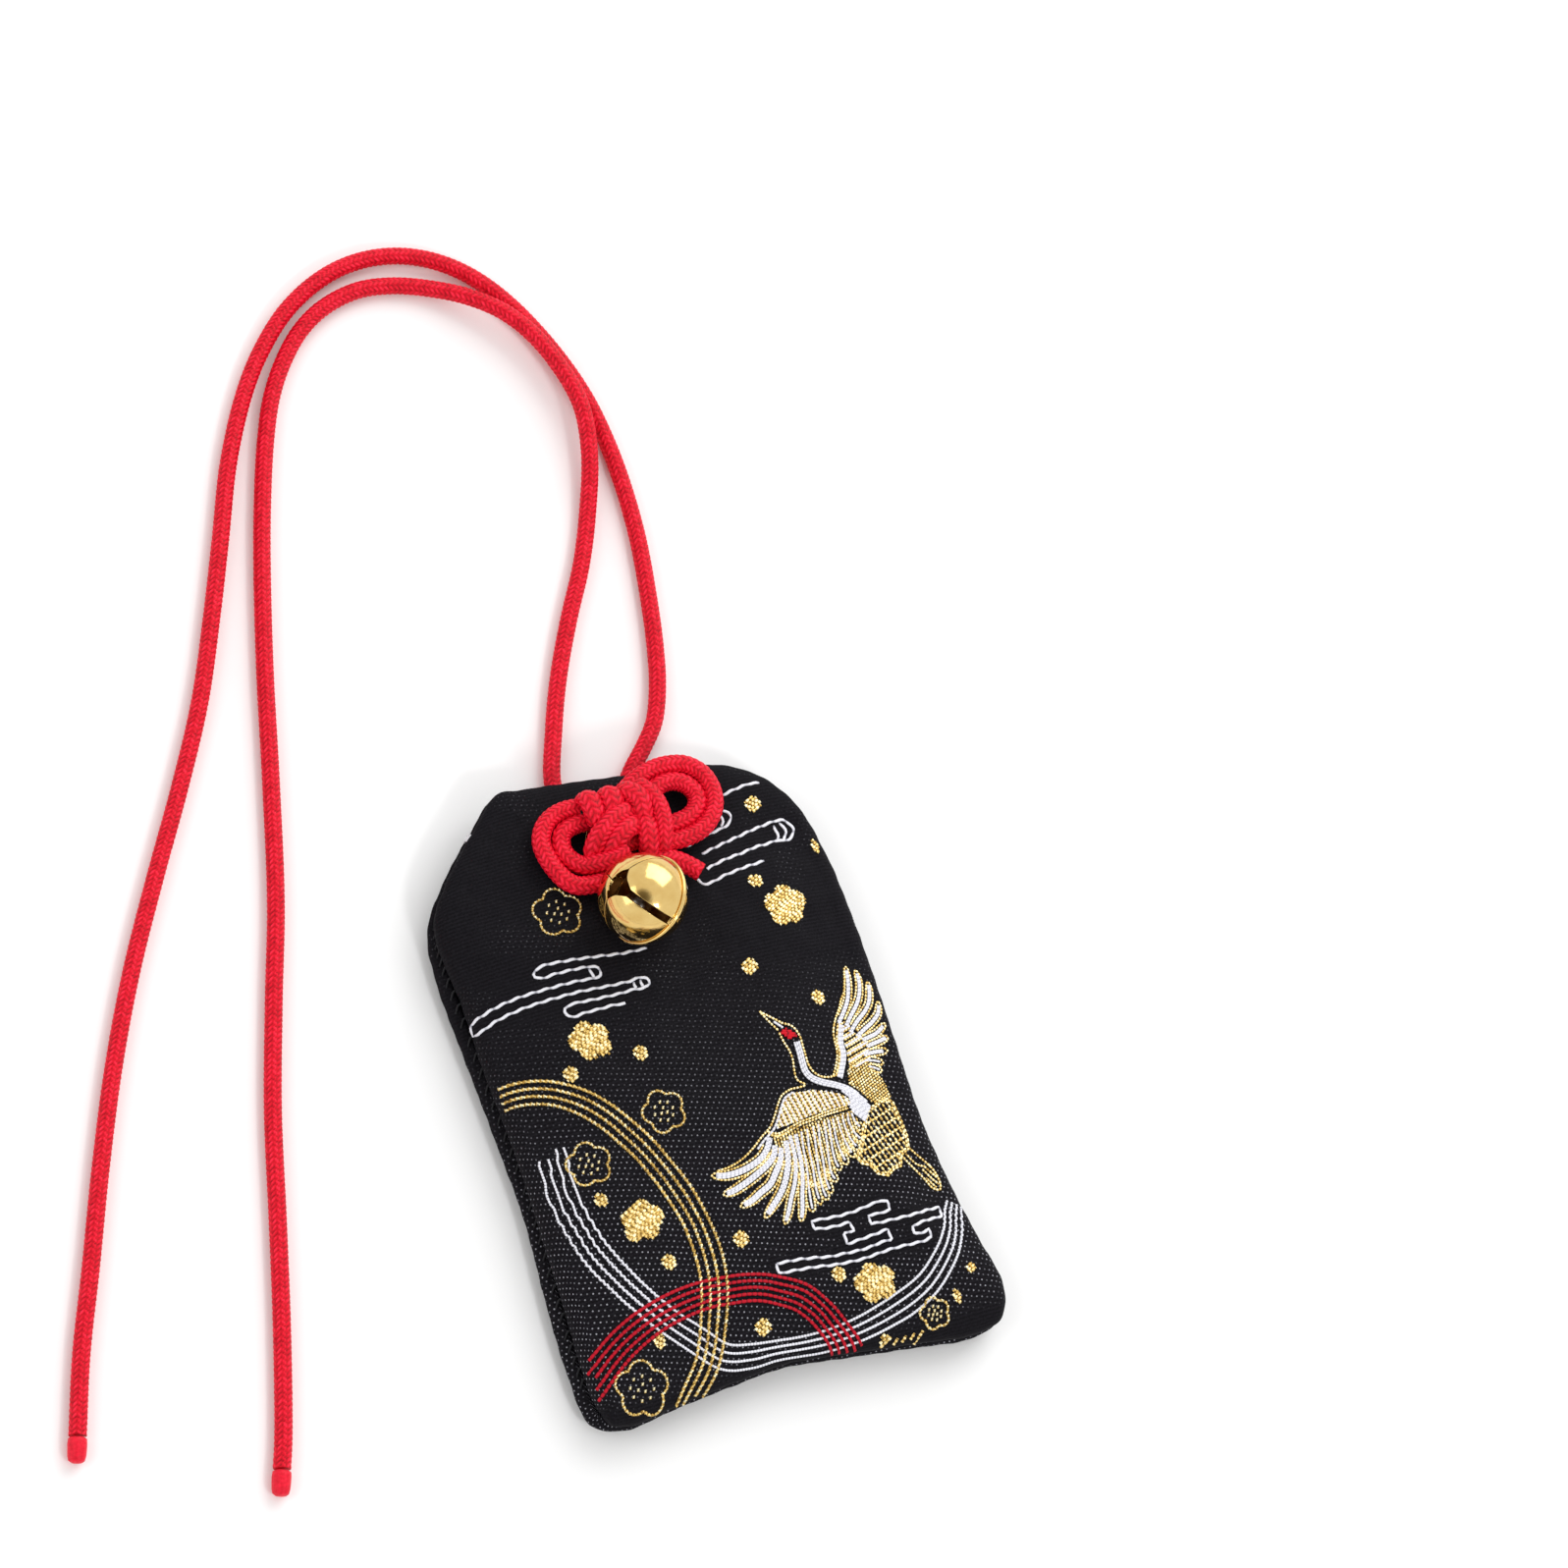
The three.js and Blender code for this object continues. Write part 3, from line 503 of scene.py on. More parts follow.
# Knot
# The same cord tied in front of the mouth as a flat knot: two doubled loops, four turns over the
# middle, the folds that close it below and a short cut end. It holds by its own tightness.
knot_place = Matrix.Translation((-0.694 * mm, 29.170 * mm, 7.301 * mm)) @ Matrix.Rotation(-0.12, 4, "X")
loop_size = (2.15, 2.0)
wrap_size = (2.55, 1.8)
core_size = (2.2, 2.2)
loop_height = 1.3  # of each place without a height
knot_runs = {
    "knot_left_loop_outer": (loop_size, [
        (-4.6, 2.1), (-5.15, 2.3), (-6.7, 2.3), (-8.3, 1.8), (-9.6, 0.7), (-10.3, -0.8), (-10.3, -2.5),
        (-9.9, -4.2), (-9.2, -5.7), (-8.2, -6.6), (-6.7, -6.9), (-5.3, -6.85, 1.25), (-4.3, -6.7, 1.2),
    ]),
    "knot_left_loop_inner": (loop_size, [
        (-2.8, 0.1, 1.25), (-3.3, 0.2, 1.25), (-4.6, 0.35), (-6.2, 0.3), (-7.6, -0.3), (-8.25, -1.8),
        (-7.9, -3.4, 1.35), (-6.7, -4.6, 1.5), (-5, -5, 2.3), (-3.2, -5.25, 2.95), (-1.8, -4.85, 3.25),
    ]),
    "knot_right_loop_outer": (loop_size, [
        (0.9, 2.6, 1.4), (1.3, 3), (2, 3.5), (3.4, 4.2), (5.4, 4.7), (7.3, 4.7), (9, 4.2), (10.3, 2.9),
        (10.8, 1.2), (10.6, -0.7), (9.7, -2.3), (8.1, -3.6), (6, -4.2), (4, -4.2, 1.2), (3, -4.1, 1.2),
    ]),
    "knot_right_loop_inner": (loop_size, [
        (2.6, 0.7, 1.4), (3.3, 1.1), (4.2, 2.1), (5.4, 2.65), (6.9, 2.65), (8.2, 1.85), (8.8, 0.4), (8.3, -1),
        (7, -1.9), (5.5, -2.2), (4.1, -2.25, 1.2), (3.2, -2.2, 1.2),
    ]),
    "knot_wrap_left": (wrap_size, [
        (-3.95, 2.75, 1.7), (-3.95, 2.5, 2.9), (-3.95, 1.7, 3.5), (-3.95, 0.9, 3.45), (-3.85, 0.2, 3.2),
        (-3.7, -0.3, 2.6),
    ]),
    "knot_wrap_middle": (wrap_size, [
        (-1.45, 2.7, 1.8), (-1.45, 2.4, 3), (-1.5, 1.6, 3.6), (-1.6, 0.8, 3.55), (-1.7, 0.1, 3.1),
    ]),
    "knot_wrap_right_inner": (wrap_size, [
        (0.3, 2.6, 2.1), (0.5, 2.3, 2.8), (0.8, 1.8, 3.4), (1.3, 1, 3.75), (1.5, 0.2, 3.7), (1.5, -0.6, 3.4),
        (1.5, -1.2, 2.9),
    ]),
    "knot_wrap_right_outer": ((2.1, 1.8), [
        (2.3, 2.7, 2.4), (2.5, 2.2, 2.95), (2.85, 1.5, 3.3), (3.2, 0.5, 3.5), (3.4, -0.6, 3.5),
        (3.4, -1.8, 3.35), (3.2, -2.9, 3.2), (2.95, -3.8, 2.9), (2.75, -4.5, 2.4), (2.7, -4.9, 1.7),
        (2.7, -4.9, 1),
    ]),
    "knot_fold_left_upper": ((2.45, 1.9), [
        (0.2, -0.1, 2.7), (-0.3, -0.2, 3.1), (-1.6, -0.6, 3.5), (-3, -1.3, 3.5), (-4.3, -2.3, 3.1),
        (-5, -3.1, 2.4), (-5.1, -3.5, 1.5), (-4.8, -3.6, 0.9),
    ]),
    "knot_fold_left_lower": ((2.45, 1.9), [
        (0.3, -1.8, 2.7), (-0.3, -2, 3.2), (-1.3, -2.4, 3.5), (-2.3, -3.05, 3.4), (-3.1, -3.8, 2.8),
        (-3.4, -4.3, 1.9), (-3.3, -4.4, 1.1),
    ]),
    "knot_fold_right": ((2.4, 1.85), [
        (1.5, -1.4, 2.8), (1.4, -2, 3.1), (1.25, -2.9, 3.3), (1.05, -3.9, 3.1), (0.9, -4.7, 2.5),
        (0.85, -5.1, 1.7), (0.9, -5.1, 1),
    ]),
    "knot_core_upper": (core_size, [
        (-3.6, -1.2), (-1, -0.9), (1.2, -0.9), (3.4, -0.6),
    ]),
    "knot_core_lower": (core_size, [
        (-3, -3.6), (-0.6, -3.2), (1.4, -3.2), (2.6, -3.3),
    ]),
    "knot_tail": (loop_size, [
        (-0.4, -6, 1.2), (0.1, -6, 1.2), (1.4, -5.8), (2.7, -6), (4, -6.7), (5, -7.6), (6, -8.7),
    ]),
}
for name, ((width, height), points) in knot_runs.items():
    route = smooth_route([knot_place @ (Vector((*p, loop_height)[:3]) * mm) for p in points])
    braided_cord(name + "_braid", name, route, width * mm, height * mm, 0.1 * mm, 40)

lead_diameter = 1.9 * mm
lead_routes = {
    "right_cord_lead": [
        (0.05, 29.3, 8.9), (0.05, 29.05, 6.5), (0.05, 29, 4.2), (0.1, 29.05, 2.9), (0.3, 29.5, 1.7),
        (0.8, 30.5, 1.1), (1.7, 32.2, 1.05), (2.84, 34.27, 1.05),
    ],
    "left_cord_lead": [
        (-2.05, 29.3, 8.9), (-2.05, 29.05, 6.5), (-2.05, 29, 4.2), (-2.1, 29.05, 2.9), (-2.4, 29.5, 1.7),
        (-2.9, 30.5, 1.1), (-3.8, 32.4, 1.05), (-4.73, 34.85, 1.05),
    ],
}
for name, points in lead_routes.items():
    route = smooth_route([pouch_place(*p) for p in points])
    braided_cord(name + "_braid", name, route, lead_diameter, lead_diameter, 0.16 * mm)


# Bell
# A jingle bell of two pressed brass halves, gilded and polished. The slotted half's four petals are
# bent together, so that one slot stays wide, and its rim is rolled over the closed half's.
bell_middle = Vector((-3.522, 18.592, 13.394))
bell_side = Vector((0.16212, -0.78026, 0.60409))
bell_axis = Vector((-0.71618, 0.3281, 0.61598)).normalized()
bell_across = bell_axis.cross(bell_side).normalized()
bell_side = bell_across.cross(bell_axis)
bell_place = Matrix.Translation(bell_middle * mm) @ Matrix(
    (bell_side, bell_across, bell_axis)
).transposed().to_4x4()
bell_radius = 5
bell_wall = 0.4
bell_seam_height = -0.75
bell_seam_gap = 0.12
slot_floor = -0.5
slot_widths = (0.88, 0.1, 0.1, 0.12)
opening_shape = [(2.1, 0), (1.25, 0.75), (0.0, 2.05), (-0.55, 1.35), (-0.8, 0.6), (-0.85, 0)]


def make_gilt_brass():
    """Polished gilt brass: it mirrors what is round it, with faint scratches and a thin dull film."""
    material, tree, shader = new_material("polished_gilt", Metallic=1.0, Roughness=0.1)
    film = object_noise(tree, 2.2 * mm, 3.0, 0.6)
    height = film * 3.0 + object_noise(tree, 0.25 * mm, 2.0)
    colour = colour_ramp(tree, film, [(0.3, (0.7, 0.46, 0.15)), (0.7, (0.8, 0.575, 0.22))])
    dress(tree, shader, colour, height, 0.012 * mm, 0.5)
    feed(tree, shader.inputs["Roughness"], film.scaled(0.12, 0.06))
    return material


gilt_brass = make_gilt_brass()
# The bell's inside is mottled, less shiny brass, made dark brown as painted shade.
shade_darkened_inside = grainy_material(
    "inside_painted_shade", (0.8 * mm, 3.0), [(0.3, (0.34, 0.12, 0.02)), (0.75, (0.66, 0.33, 0.08))],
    Metallic=0.3, Roughness=0.45,
)


def opening_reach(angle):
    """How far the opening at the bell's pole reaches at an angle round it."""
    turn = abs((angle + math.pi) % (2 * math.pi) - math.pi)
    for (ax, ay), (bx, by) in zip(opening_shape, opening_shape[1:]):
        low = math.atan2(ay, ax)
        high = math.atan2(by, bx)
        if low <= turn <= high:
            x, y = math.cos(turn), math.sin(turn)
            return (ax * (by - ay) - ay * (bx - ax)) / (x * (by - ay) - y * (bx - ax))
    return -opening_shape[-1][0]


def turned_point(radius, height, turn, place):
    """A point at a radius, a height and a turn round an axis, from millimetres."""
    return place @ (Vector((radius * math.cos(turn), radius * math.sin(turn), height)) * mm)


def turned_points(profile, count, place):
    """Rings of points from a profile of radius and height in millimetres, turned round an axis."""
    turns = [2 * math.pi * k / count for k in range(count)]
    return [turned_point(radius, height, turn, place) for radius, height in profile for turn in turns]


def arc_profile(radius, rises):
    """A profile on a sphere, from angles up from its middle."""
    return [(radius * math.cos(rise), radius * math.sin(rise)) for rise in rises]


def petals_mesh():
    """The four petals as one skin, joined by the band under the slots."""
    columns = 40
    rows = 46
    band_rows = 3
    rim = math.asin((bell_seam_height + bell_seam_gap / 2) / bell_radius)
    floor = math.asin(slot_floor / bell_radius)
    points = []
    for petal in range(4):
        start = petal * math.pi / 2
        for row in range(rows + 1):
            for column in range(columns + 1):
                share = column / columns
                ahead = start + share * math.pi / 2
                top = math.acos(opening_reach(ahead) / bell_radius)
                if row < band_rows:
                    rise = rim + (floor - rim) * row / band_rows
                else:
                    rise = floor + (top - floor) * (row - band_rows) / (rows - band_rows)
                level = bell_radius * math.cos(rise)
                near = math.asin(min(1, slot_widths[petal] / 2 / level))
                far = math.asin(min(1, slot_widths[(petal + 1) % 4] / 2 / level))
                turn = start + near + share * (math.pi / 2 - near - far)
                points.append(turned_point(level, bell_radius * math.sin(rise), turn, bell_place))
    faces = []
    per_petal = (rows + 1) * (columns + 1)
    petal_faces = grid_faces(rows + 1, columns + 1, turned=True)
    for petal in range(4):
        base = petal * per_petal
        faces += [tuple(base + corner for corner in face) for face in petal_faces]
        following = (petal + 1) % 4 * per_petal
        for row in range(band_rows):
            a = base + row * (columns + 1) + columns
            b = following + row * (columns + 1)
            faces.append((a, b, b + columns + 1, a + columns + 1))
    return points, faces


def add_modifier(piece, kind, **settings):
    """A modifier with its settings."""
    modifier = piece.modifiers.new(kind.lower(), kind)
    for name, value in settings.items():
        setattr(modifier, name, value)


def bake_modifiers(piece):
    """Turns a piece with its modifiers into a plain mesh."""
    result = evaluated_mesh(piece)
    piece.modifiers.clear()
    piece.data = result


def finish_shell(piece, bevel):
    """Gives a skin of the bell its inside, darkened as painted shade, its wall and its softened edges."""
    piece.data.materials.append(shade_darkened_inside)
    add_modifier(
        piece, "SOLIDIFY", thickness=bell_wall * mm, offset=-1, use_even_offset=True, material_offset=1
    )
    add_modifier(
        piece, "BEVEL", width=bevel * mm, segments=3, limit_method="ANGLE", angle_limit=math.radians(45)
    )
    bake_modifiers(piece)


petal_bevel = 0.07
closed_bevel = 0.05
slotted = mesh_piece("bell_petals", *petals_mesh(), gilt_brass)
finish_shell(slotted, petal_bevel)

bell_around = 128
closed_rows = 40
closed_rim = math.asin((bell_seam_height - bell_seam_gap / 2) / bell_radius)
closed_rises = [closed_rim + (-math.pi / 2 - closed_rim) * row / closed_rows for row in range(closed_rows)]
closed_points = turned_points(arc_profile(bell_radius, closed_rises), bell_around, bell_place)
closed_points.append(turned_point(0, -bell_radius, 0, bell_place))
closed_faces = fan_faces(closed_rows, bell_around, len(closed_points) - 1)
closed_half = mesh_piece("bell_closed_half", closed_points, closed_faces, gilt_brass)
finish_shell(closed_half, closed_bevel)

lip_profile = [
    (5, -0.24), (5.1, -0.26), (5.17, -0.22), (5.21, -0.13), (5.22, 0), (5.21, 0.12), (5.16, 0.21),
    (5.08, 0.25), (5, 0.25), (4.98, 0.1), (4.98, -0.1),
]
lip_rings = [(radius, bell_seam_height + height) for radius, height in lip_profile]
lip_points = turned_points(lip_rings, bell_around, bell_place)
lip_faces = grid_faces(len(lip_rings), bell_around, around=True, closed=True, turned=True)
rolled_lip = mesh_piece("bell_lip_roll", lip_points, lip_faces, gilt_brass)
enrol(slotted, "bell", "bell_slotted_shell")
enrol(closed_half, "bell", "bell_shank_shell")
enrol(rolled_lip, "bell", "bell_rolled_lip")


# Bell's shank, wire and pellet
# A hoop of brass wire stands on the closed half. A bent wire loop runs through it and round the
# cord under the knot, where its two ends meet. A loose steel ball lies inside the bell.
def make_wire_tree():
    """A round wire along a line."""
    tree, given = new_tree("round wire", ("Radius", "Step"), ("Sides",))
    circle = circle_section(tree, given, given["Radius"])
    return close_tree(tree, given, swept(tree, line_rings(tree, given, level=False), circle))


wire_tree = make_wire_tree()


def wire_piece(name, routes, radius, step, sides, material, body, node):
    """Round wires or threads along routes, as one piece."""
    inputs = {"Radius": radius * mm, "Step": step * mm, "Sides": sides, "Material": material}
    enrol(grown_piece(name, wire_tree, routes, inputs), body, node)


hanging_wire_points = [
    (0.5, 1.8, 0), (2.1, 1.2, 0), (2.7, -0.6, 0), (2.6, -3.4, 0), (2.7, -6.4, 0.05), (2.9, -8.8, 0.8),
    (2.9, -10.9, 1.9), (2.2, -12.4, 2), (1.29, -12.68, 1.04), (0.3, -12.3, 0), (-0.5, -11, -0.15),
    (-1.6, -9.1, -0.1), (-3.1, -7, 0), (-4.5, -4.7, 0), (-5, -2.3, 0), (-4.2, -0.2, 0), (-2.3, 1.4, 0),
    (0.1, 1.85, 0),
]
wire_route = smooth_route([knot_place @ (Vector(p) * mm) for p in hanging_wire_points])
wire_piece(
    "bell_wire_loop", [wire_route], 0.175, 0.15, 16, gilt_brass, "charm", "bell_hanging_wire"
)

wire_at_shank = Vector((0.652, 0, 0.758))
hoop_turn = math.atan2(wire_at_shank.dot(bell_across), wire_at_shank.dot(bell_side))
hoop_radius = 0.95
hoop_middle = -5.32
hoop_sink = 0.1
hoop_foot = -math.sqrt(bell_radius ** 2 - hoop_radius ** 2) + hoop_sink
hoop = [(0, -hoop_radius, hoop_foot)]
for k in range(25):
    angle = math.pi + math.pi * k / 24
    hoop.append((0, hoop_radius * math.cos(angle), hoop_middle + hoop_radius * math.sin(angle)))
hoop.append((0, hoop_radius, hoop_foot))
hoop_place = bell_place @ Matrix.Rotation(hoop_turn, 4, "Z")
hoop_route = [hoop_place @ (Vector(p) * mm) for p in hoop]
wire_piece("bell_hoop", [hoop_route], 0.2, 0.12, 16, gilt_brass, "bell", "bell_shank")

pellet_low, pellet_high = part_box("bell_pellet")
pellet_place = Matrix.Translation((Vector(pellet_low) + Vector(pellet_high)) / 2)
pellet_radius = 1.6
pellet_rows = 24
pellet_around = 48
pellet_rises = [math.pi * row / pellet_rows - math.pi / 2 for row in range(1, pellet_rows)]
pellet_points = turned_points(arc_profile(pellet_radius, pellet_rises), pellet_around, pellet_place)
pellet_points += [turned_point(0, height, 0, pellet_place) for height in (-pellet_radius, pellet_radius)]
pellet_faces = fan_faces(pellet_rows - 1, pellet_around, len(pellet_points) - 1, len(pellet_points) - 2)
tumbled_steel = grainy_material(
    "tumbled_steel", (0.5 * mm, 3.0), [(0.35, (0.3, 0.22, 0.15)), (0.6, (0.5, 0.48, 0.45))],
    (0.03 * mm, 0.5), Metallic=1.0, Roughness=0.35,
)
pellet = mesh_piece("rattle_ball", pellet_points, [face[::-1] for face in pellet_faces], tumbled_steel)
enrol(pellet, "pellet", "bell_pellet")


# Pouch panels
# Two cups of black brocade, cut alike and padded, with their turned edges sewn together all round
# but for the mouth. The front one is crowned and the back one lies flat on the table.
half_width = 25.5
half_length = 36.5
outline_shares = [
    (-0.08, -0.926), (0.2, -0.948), (0.51, -0.975), (0.8, -0.996), (0.925, -0.967), (0.976, -0.871),
    (0.941, -0.726), (0.902, -0.562), (0.871, -0.329), (0.875, -0.082), (0.882, 0.164), (0.878, 0.384),
    (0.859, 0.562), (0.796, 0.718), (0.678, 0.838), (0.502, 0.91), (0.196, 0.937), (-0.118, 0.962),
    (-0.412, 0.981), (-0.525, 0.984), (-0.667, 0.899), (-0.843, 0.778), (-0.973, 0.652), (-1, 0.507),
    (-0.992, 0.274), (-0.976, 0), (-0.965, -0.274), (-0.988, -0.548), (-0.998, -0.767), (-0.973, -0.93),
    (-0.855, -0.975), (-0.588, -0.956), (-0.314, -0.937),
]
outline_count = 528
outline_steps = np.arange(outline_count) / outline_count
outline_points = smooth_curve(
    [(x * half_width, y * half_length) for x, y in outline_shares], outline_steps, closed=True
)
outline_along = np.roll(outline_points, -1, 0) - np.roll(outline_points, 1, 0)
outline_along /= np.linalg.norm(outline_along, axis=1)[:, None]
outline_inward = np.stack([-outline_along[:, 1], outline_along[:, 0]], 1)
outline_run = np.concatenate([[0], np.cumsum(np.linalg.norm(np.diff(outline_points, axis=0), axis=1))])

cloth_thickness = 0.5
shoulder_inset = 2.5
shoulder_height = 5.8
crown_height = 2.6
seam_height = 2.7
mouth_lift = 2.6
mouth_squeeze_share = 0.35
lift_start = 20
lift_end = 28
eyelet_middle = (-1, 29)
eyelet_radius = 2.25
dot_steps = ((0.596, -0.173), (-0.395, -0.535))
dot_size = 0.155
rib_pitch = 0.42
pucker_depth = 0.03
pucker_pitch = 2.6
pucker_beat = 4.3
tuck_depth = 0.35
ripple_size = 9.0
front_edge = [
    (2.5, 5.8), (2, 5.74), (1.55, 5.62), (1.15, 5.46), (0.8, 5.24), (0.5, 4.98), (0.25, 4.68), (0.08, 4.36),
    (0, 4.02), (0.02, 3.7), (0.14, 3.4), (0.36, 3.14), (0.66, 2.95), (1, 2.86),
]
back_edge = [
    (2.5, 0), (2.05, 0.05), (1.65, 0.16), (1.3, 0.3), (0.95, 0.5), (0.62, 0.75), (0.35, 1.03), (0.14, 1.34),
    (0.02, 1.66), (0.02, 1.96), (0.14, 2.2), (0.36, 2.38), (0.66, 2.5), (1, 2.55),
]


def mouth_shaped(y, height):
    """The height of a layer at a place along the pouch, raised and thinned at the mouth."""
    t = np.clip((y - lift_start) / (lift_end - lift_start), 0, 1)
    share = t * t * (3 - 2 * t)
    return mouth_lift * share + height * (1 - mouth_squeeze_share * share)


def pucker(inset):
    """How far the seam's stitches draw the edge in, place by place."""
    near = max(0, 1 - inset / 3)
    wave = np.sin(outline_run / pucker_pitch * 2 * math.pi)
    return pucker_depth * near * (wave + 0.6 * np.sin(outline_run / pucker_beat * 2 * math.pi))


def spread(inset, amount):
    """How far a rim of the left side stands out past the outline, place by place."""
    facing_left = np.clip((outline_inward[:, 0] - 0.35) / 0.5, 0, 1)
    below_shoulder = np.clip((24 - outline_points[:, 1]) / 9, 0, 1)
    wave = 1 + 0.22 * np.sin(outline_run / 7.3) + 0.12 * np.sin(outline_run / 2.9)
    return amount * max(0, 1 - inset / 2.5) * facing_left * (0.25 + 0.75 * below_shoulder) * wave


def cloth_ripple(x, y, depth, size, seed):
    """Low waves of the cloth over its padding."""
    places = [Vector((a / size, b / size, seed)) for a, b in zip(x, y)]
    return depth * np.array([noise.fractal(place, 0.6, 2.0, 3) for place in places])


def panel_ring(inset, scale, height, rim_spread, ripple=0.0, seed=0.0):
    """One ring of a panel in millimetres."""
    inward = inset + pucker(inset) - spread(inset, rim_spread)
    flat = (outline_points + outline_inward * inward[:, None]) * scale
    x, y = flat[:, 0], flat[:, 1]
    z = mouth_shaped(y, height)
    if ripple:
        z = z + cloth_ripple(x, y, ripple, ripple_size, seed)
    return np.stack([x, y, z], 1)


def panel_mesh(name, edge, crown, face_rings, rim_spread, face_ripple, seed, material):
    """A closed cup of cloth: its outside from the middle of the face to the seam, then its inside back."""
    outward = 1 if edge[0][1] > seam_height else -1
    rings = []
    woven_at = []

    def lay(inset, scale, height, ripple=0.0, flat=None):
        rings.append(panel_ring(inset, scale, height, rim_spread, ripple, seed))
        woven_at.append(rings[-1][:, :2] if flat is None else flat)

    for scale in np.linspace(0.02, 0.985, face_rings):
        lay(shoulder_inset, scale, edge[0][1] + crown * (1 - scale ** 3), face_ripple)
    run = 0
    before = edge[0]
    for inset, height in edge:
        run += math.dist((inset, height), before)
        before = (inset, height)
        fade = face_ripple * max(0, (inset - 0.2) / shoulder_inset)
        lay(inset, 1, height, fade, outline_points + outline_inward * (shoulder_inset - run))
    for inset, height in reversed(edge[3::2]):
        lay(inset + cloth_thickness, 1, height - outward * tuck_depth * (inset > 0.4))
    for scale in (0.98, 0.8, 0.55, 0.3, 0.08):
        lay(shoulder_inset, scale, edge[0][1] + crown * (1 - scale ** 3) - outward * cloth_thickness)
    points = np.concatenate(rings)
    poles = np.array([rings[0].mean(0), rings[-1].mean(0)])
    points = np.concatenate([points, poles]) * mm + np.array(pouch_middle)
    faces = fan_faces(len(rings), outline_count, len(points) - 1, len(points) - 2)
    if outward < 0:
        faces = [face[::-1] for face in faces]
    piece = mesh_piece(name, points, faces, material)
    flat = np.concatenate([*woven_at, poles[:, :2]])
    weave = piece.data.attributes.new("weave", "FLOAT_VECTOR", "POINT")
    weave.data.foreach_set("vector", np.column_stack([flat, np.zeros(len(flat))]).ravel())
    cut_eyelet(piece)
    return piece


def cut_away(piece, cutter):
    """Takes the cutter's space out of a piece, and removes the cutter."""
    add_modifier(piece, "BOOLEAN", operation="DIFFERENCE", solver="MANIFOLD", object=cutter)
    bake_modifiers(piece)
    bpy.data.objects.remove(cutter)


def cut_eyelet(piece):
    """The round hole that both leads of the cord go down through."""
    count = 64
    turns = [2 * math.pi * i / count for i in range(count)]
    circle = [(eyelet_radius * math.cos(turn), eyelet_radius * math.sin(turn)) for turn in turns]
    eyelet_x, eyelet_y = eyelet_middle
    points = [pouch_place(eyelet_x + x, eyelet_y + y, z) for z in (-20, 30) for x, y in circle]
    faces = [(i, (i + 1) % count, count + (i + 1) % count, count + i) for i in range(count)]
    faces += [tuple(reversed(range(count))), tuple(range(count, 2 * count))]
    cut_away(piece, mesh_piece("eyelet_cutter", points, faces, piece.data.materials[0], smooth=False))


def map_range(tree, value, low, high, top=1.0, kind="LINEAR"):
    """A value that goes from nothing at one level to a top at another."""
    inputs = {"Value": value, "From Min": low, "From Max": high, "To Max": top}
    return add_node(tree, "ShaderNodeMapRange", inputs, interpolation_type=kind)


def make_brocade():
    """Black satin whose white binding dots stand in the lattice that the weave gives them."""
    material, tree, shader = new_material("black_brocade", Roughness=0.62, Specular_IOR_Level=0.04)
    where = carried(tree, "weave", "Vector")
    x, y = (add_node(tree, "ShaderNodeSeparateXYZ", {"Vector": where}, axis) for axis in "XY")
    (ax, ay), (bx, by) = dot_steps
    cell_area = ax * by - ay * bx
    first = x * (by / cell_area) + y * (-bx / cell_area)
    second = x * (-ay / cell_area) + y * (ax / cell_area)
    column, row = first.math("ROUND"), second.math("ROUND")
    u, v = first - column, second - row
    off_x, off_y = u * ax + v * bx, u * ay + v * by
    far = (off_x * off_x + off_y * off_y).math("SQRT")
    dot = map_range(tree, far, dot_size * 0.75, dot_size * 0.35, kind="SMOOTHSTEP")
    cell = add_node(tree, "ShaderNodeCombineXYZ", {"X": column, "Y": row})
    chance = add_node(tree, "ShaderNodeTexWhiteNoise", {"Vector": cell}, "Value")
    low = map_range(tree, y, 10.0, -14.0)
    faint = map_range(tree, object_noise(tree, 7 * mm, 2.0), 0.5, 0.72, 0.3)
    amount = low.math("MAXIMUM", faint) * (Field(tree, 1.0) - carried(tree, "bare"))
    speck = dot * (amount * chance.scaled(0.9, 0.2))
    ribs = (y * (2 * math.pi / rib_pitch)).math("SINE").scaled(0.12, 0.0)
    relief = ribs + object_noise(tree, 0.2 * mm, 2.0, 0.6)
    ground = colour_ramp(tree, relief, [(0.3, (0.0045, 0.004, 0.0052)), (0.75, (0.0125, 0.0115, 0.0145))])
    colour = mixed(tree, speck.math("MINIMUM", 1.0), ground, (0.36, 0.36, 0.4))
    dress(tree, shader, colour, speck * 0.9 + relief * 0.4, 0.05 * mm, 0.5)
    return material


black_brocade = make_brocade()
front_cloth = panel_mesh("front_panel_cloth", front_edge, crown_height, 66, -0.85, 0.35, 1.5, black_brocade)
back_cloth = panel_mesh("back_panel_cloth", back_edge, 0.0, 14, 0.12, 0.0, 7.5, black_brocade)
for cloth, node in ((front_cloth, "front_panel"), (back_cloth, "back_panel")):
    enrol(cloth, "charm", node)


# Sewing
# Black thread draws the two panels' edges together in the groove between them, stitch by stitch,
# and a white bar tack locks the left seam where the mouth begins.
def edge_place(share, inset, height, along=0.0):
    """A place by the pouch's edge: a share of the way round, an inset from it and a height."""
    index = int(share * outline_count) % outline_count
    x, y = outline_points[index] + outline_inward[index] * inset + outline_along[index] * along
    return pouch_place(x, y, mouth_shaped(y, height))


def make_sewing_thread(name, deep, bright):
    """Twisted sewing thread with a fine slanted ply."""
    stops = [(0.3, deep), (0.7, bright)]
    return grainy_material(
        name, (0.07 * mm, 2.0), stops, (0.04 * mm, 0.5), Roughness=0.6, Specular_IOR_Level=0.2
    )


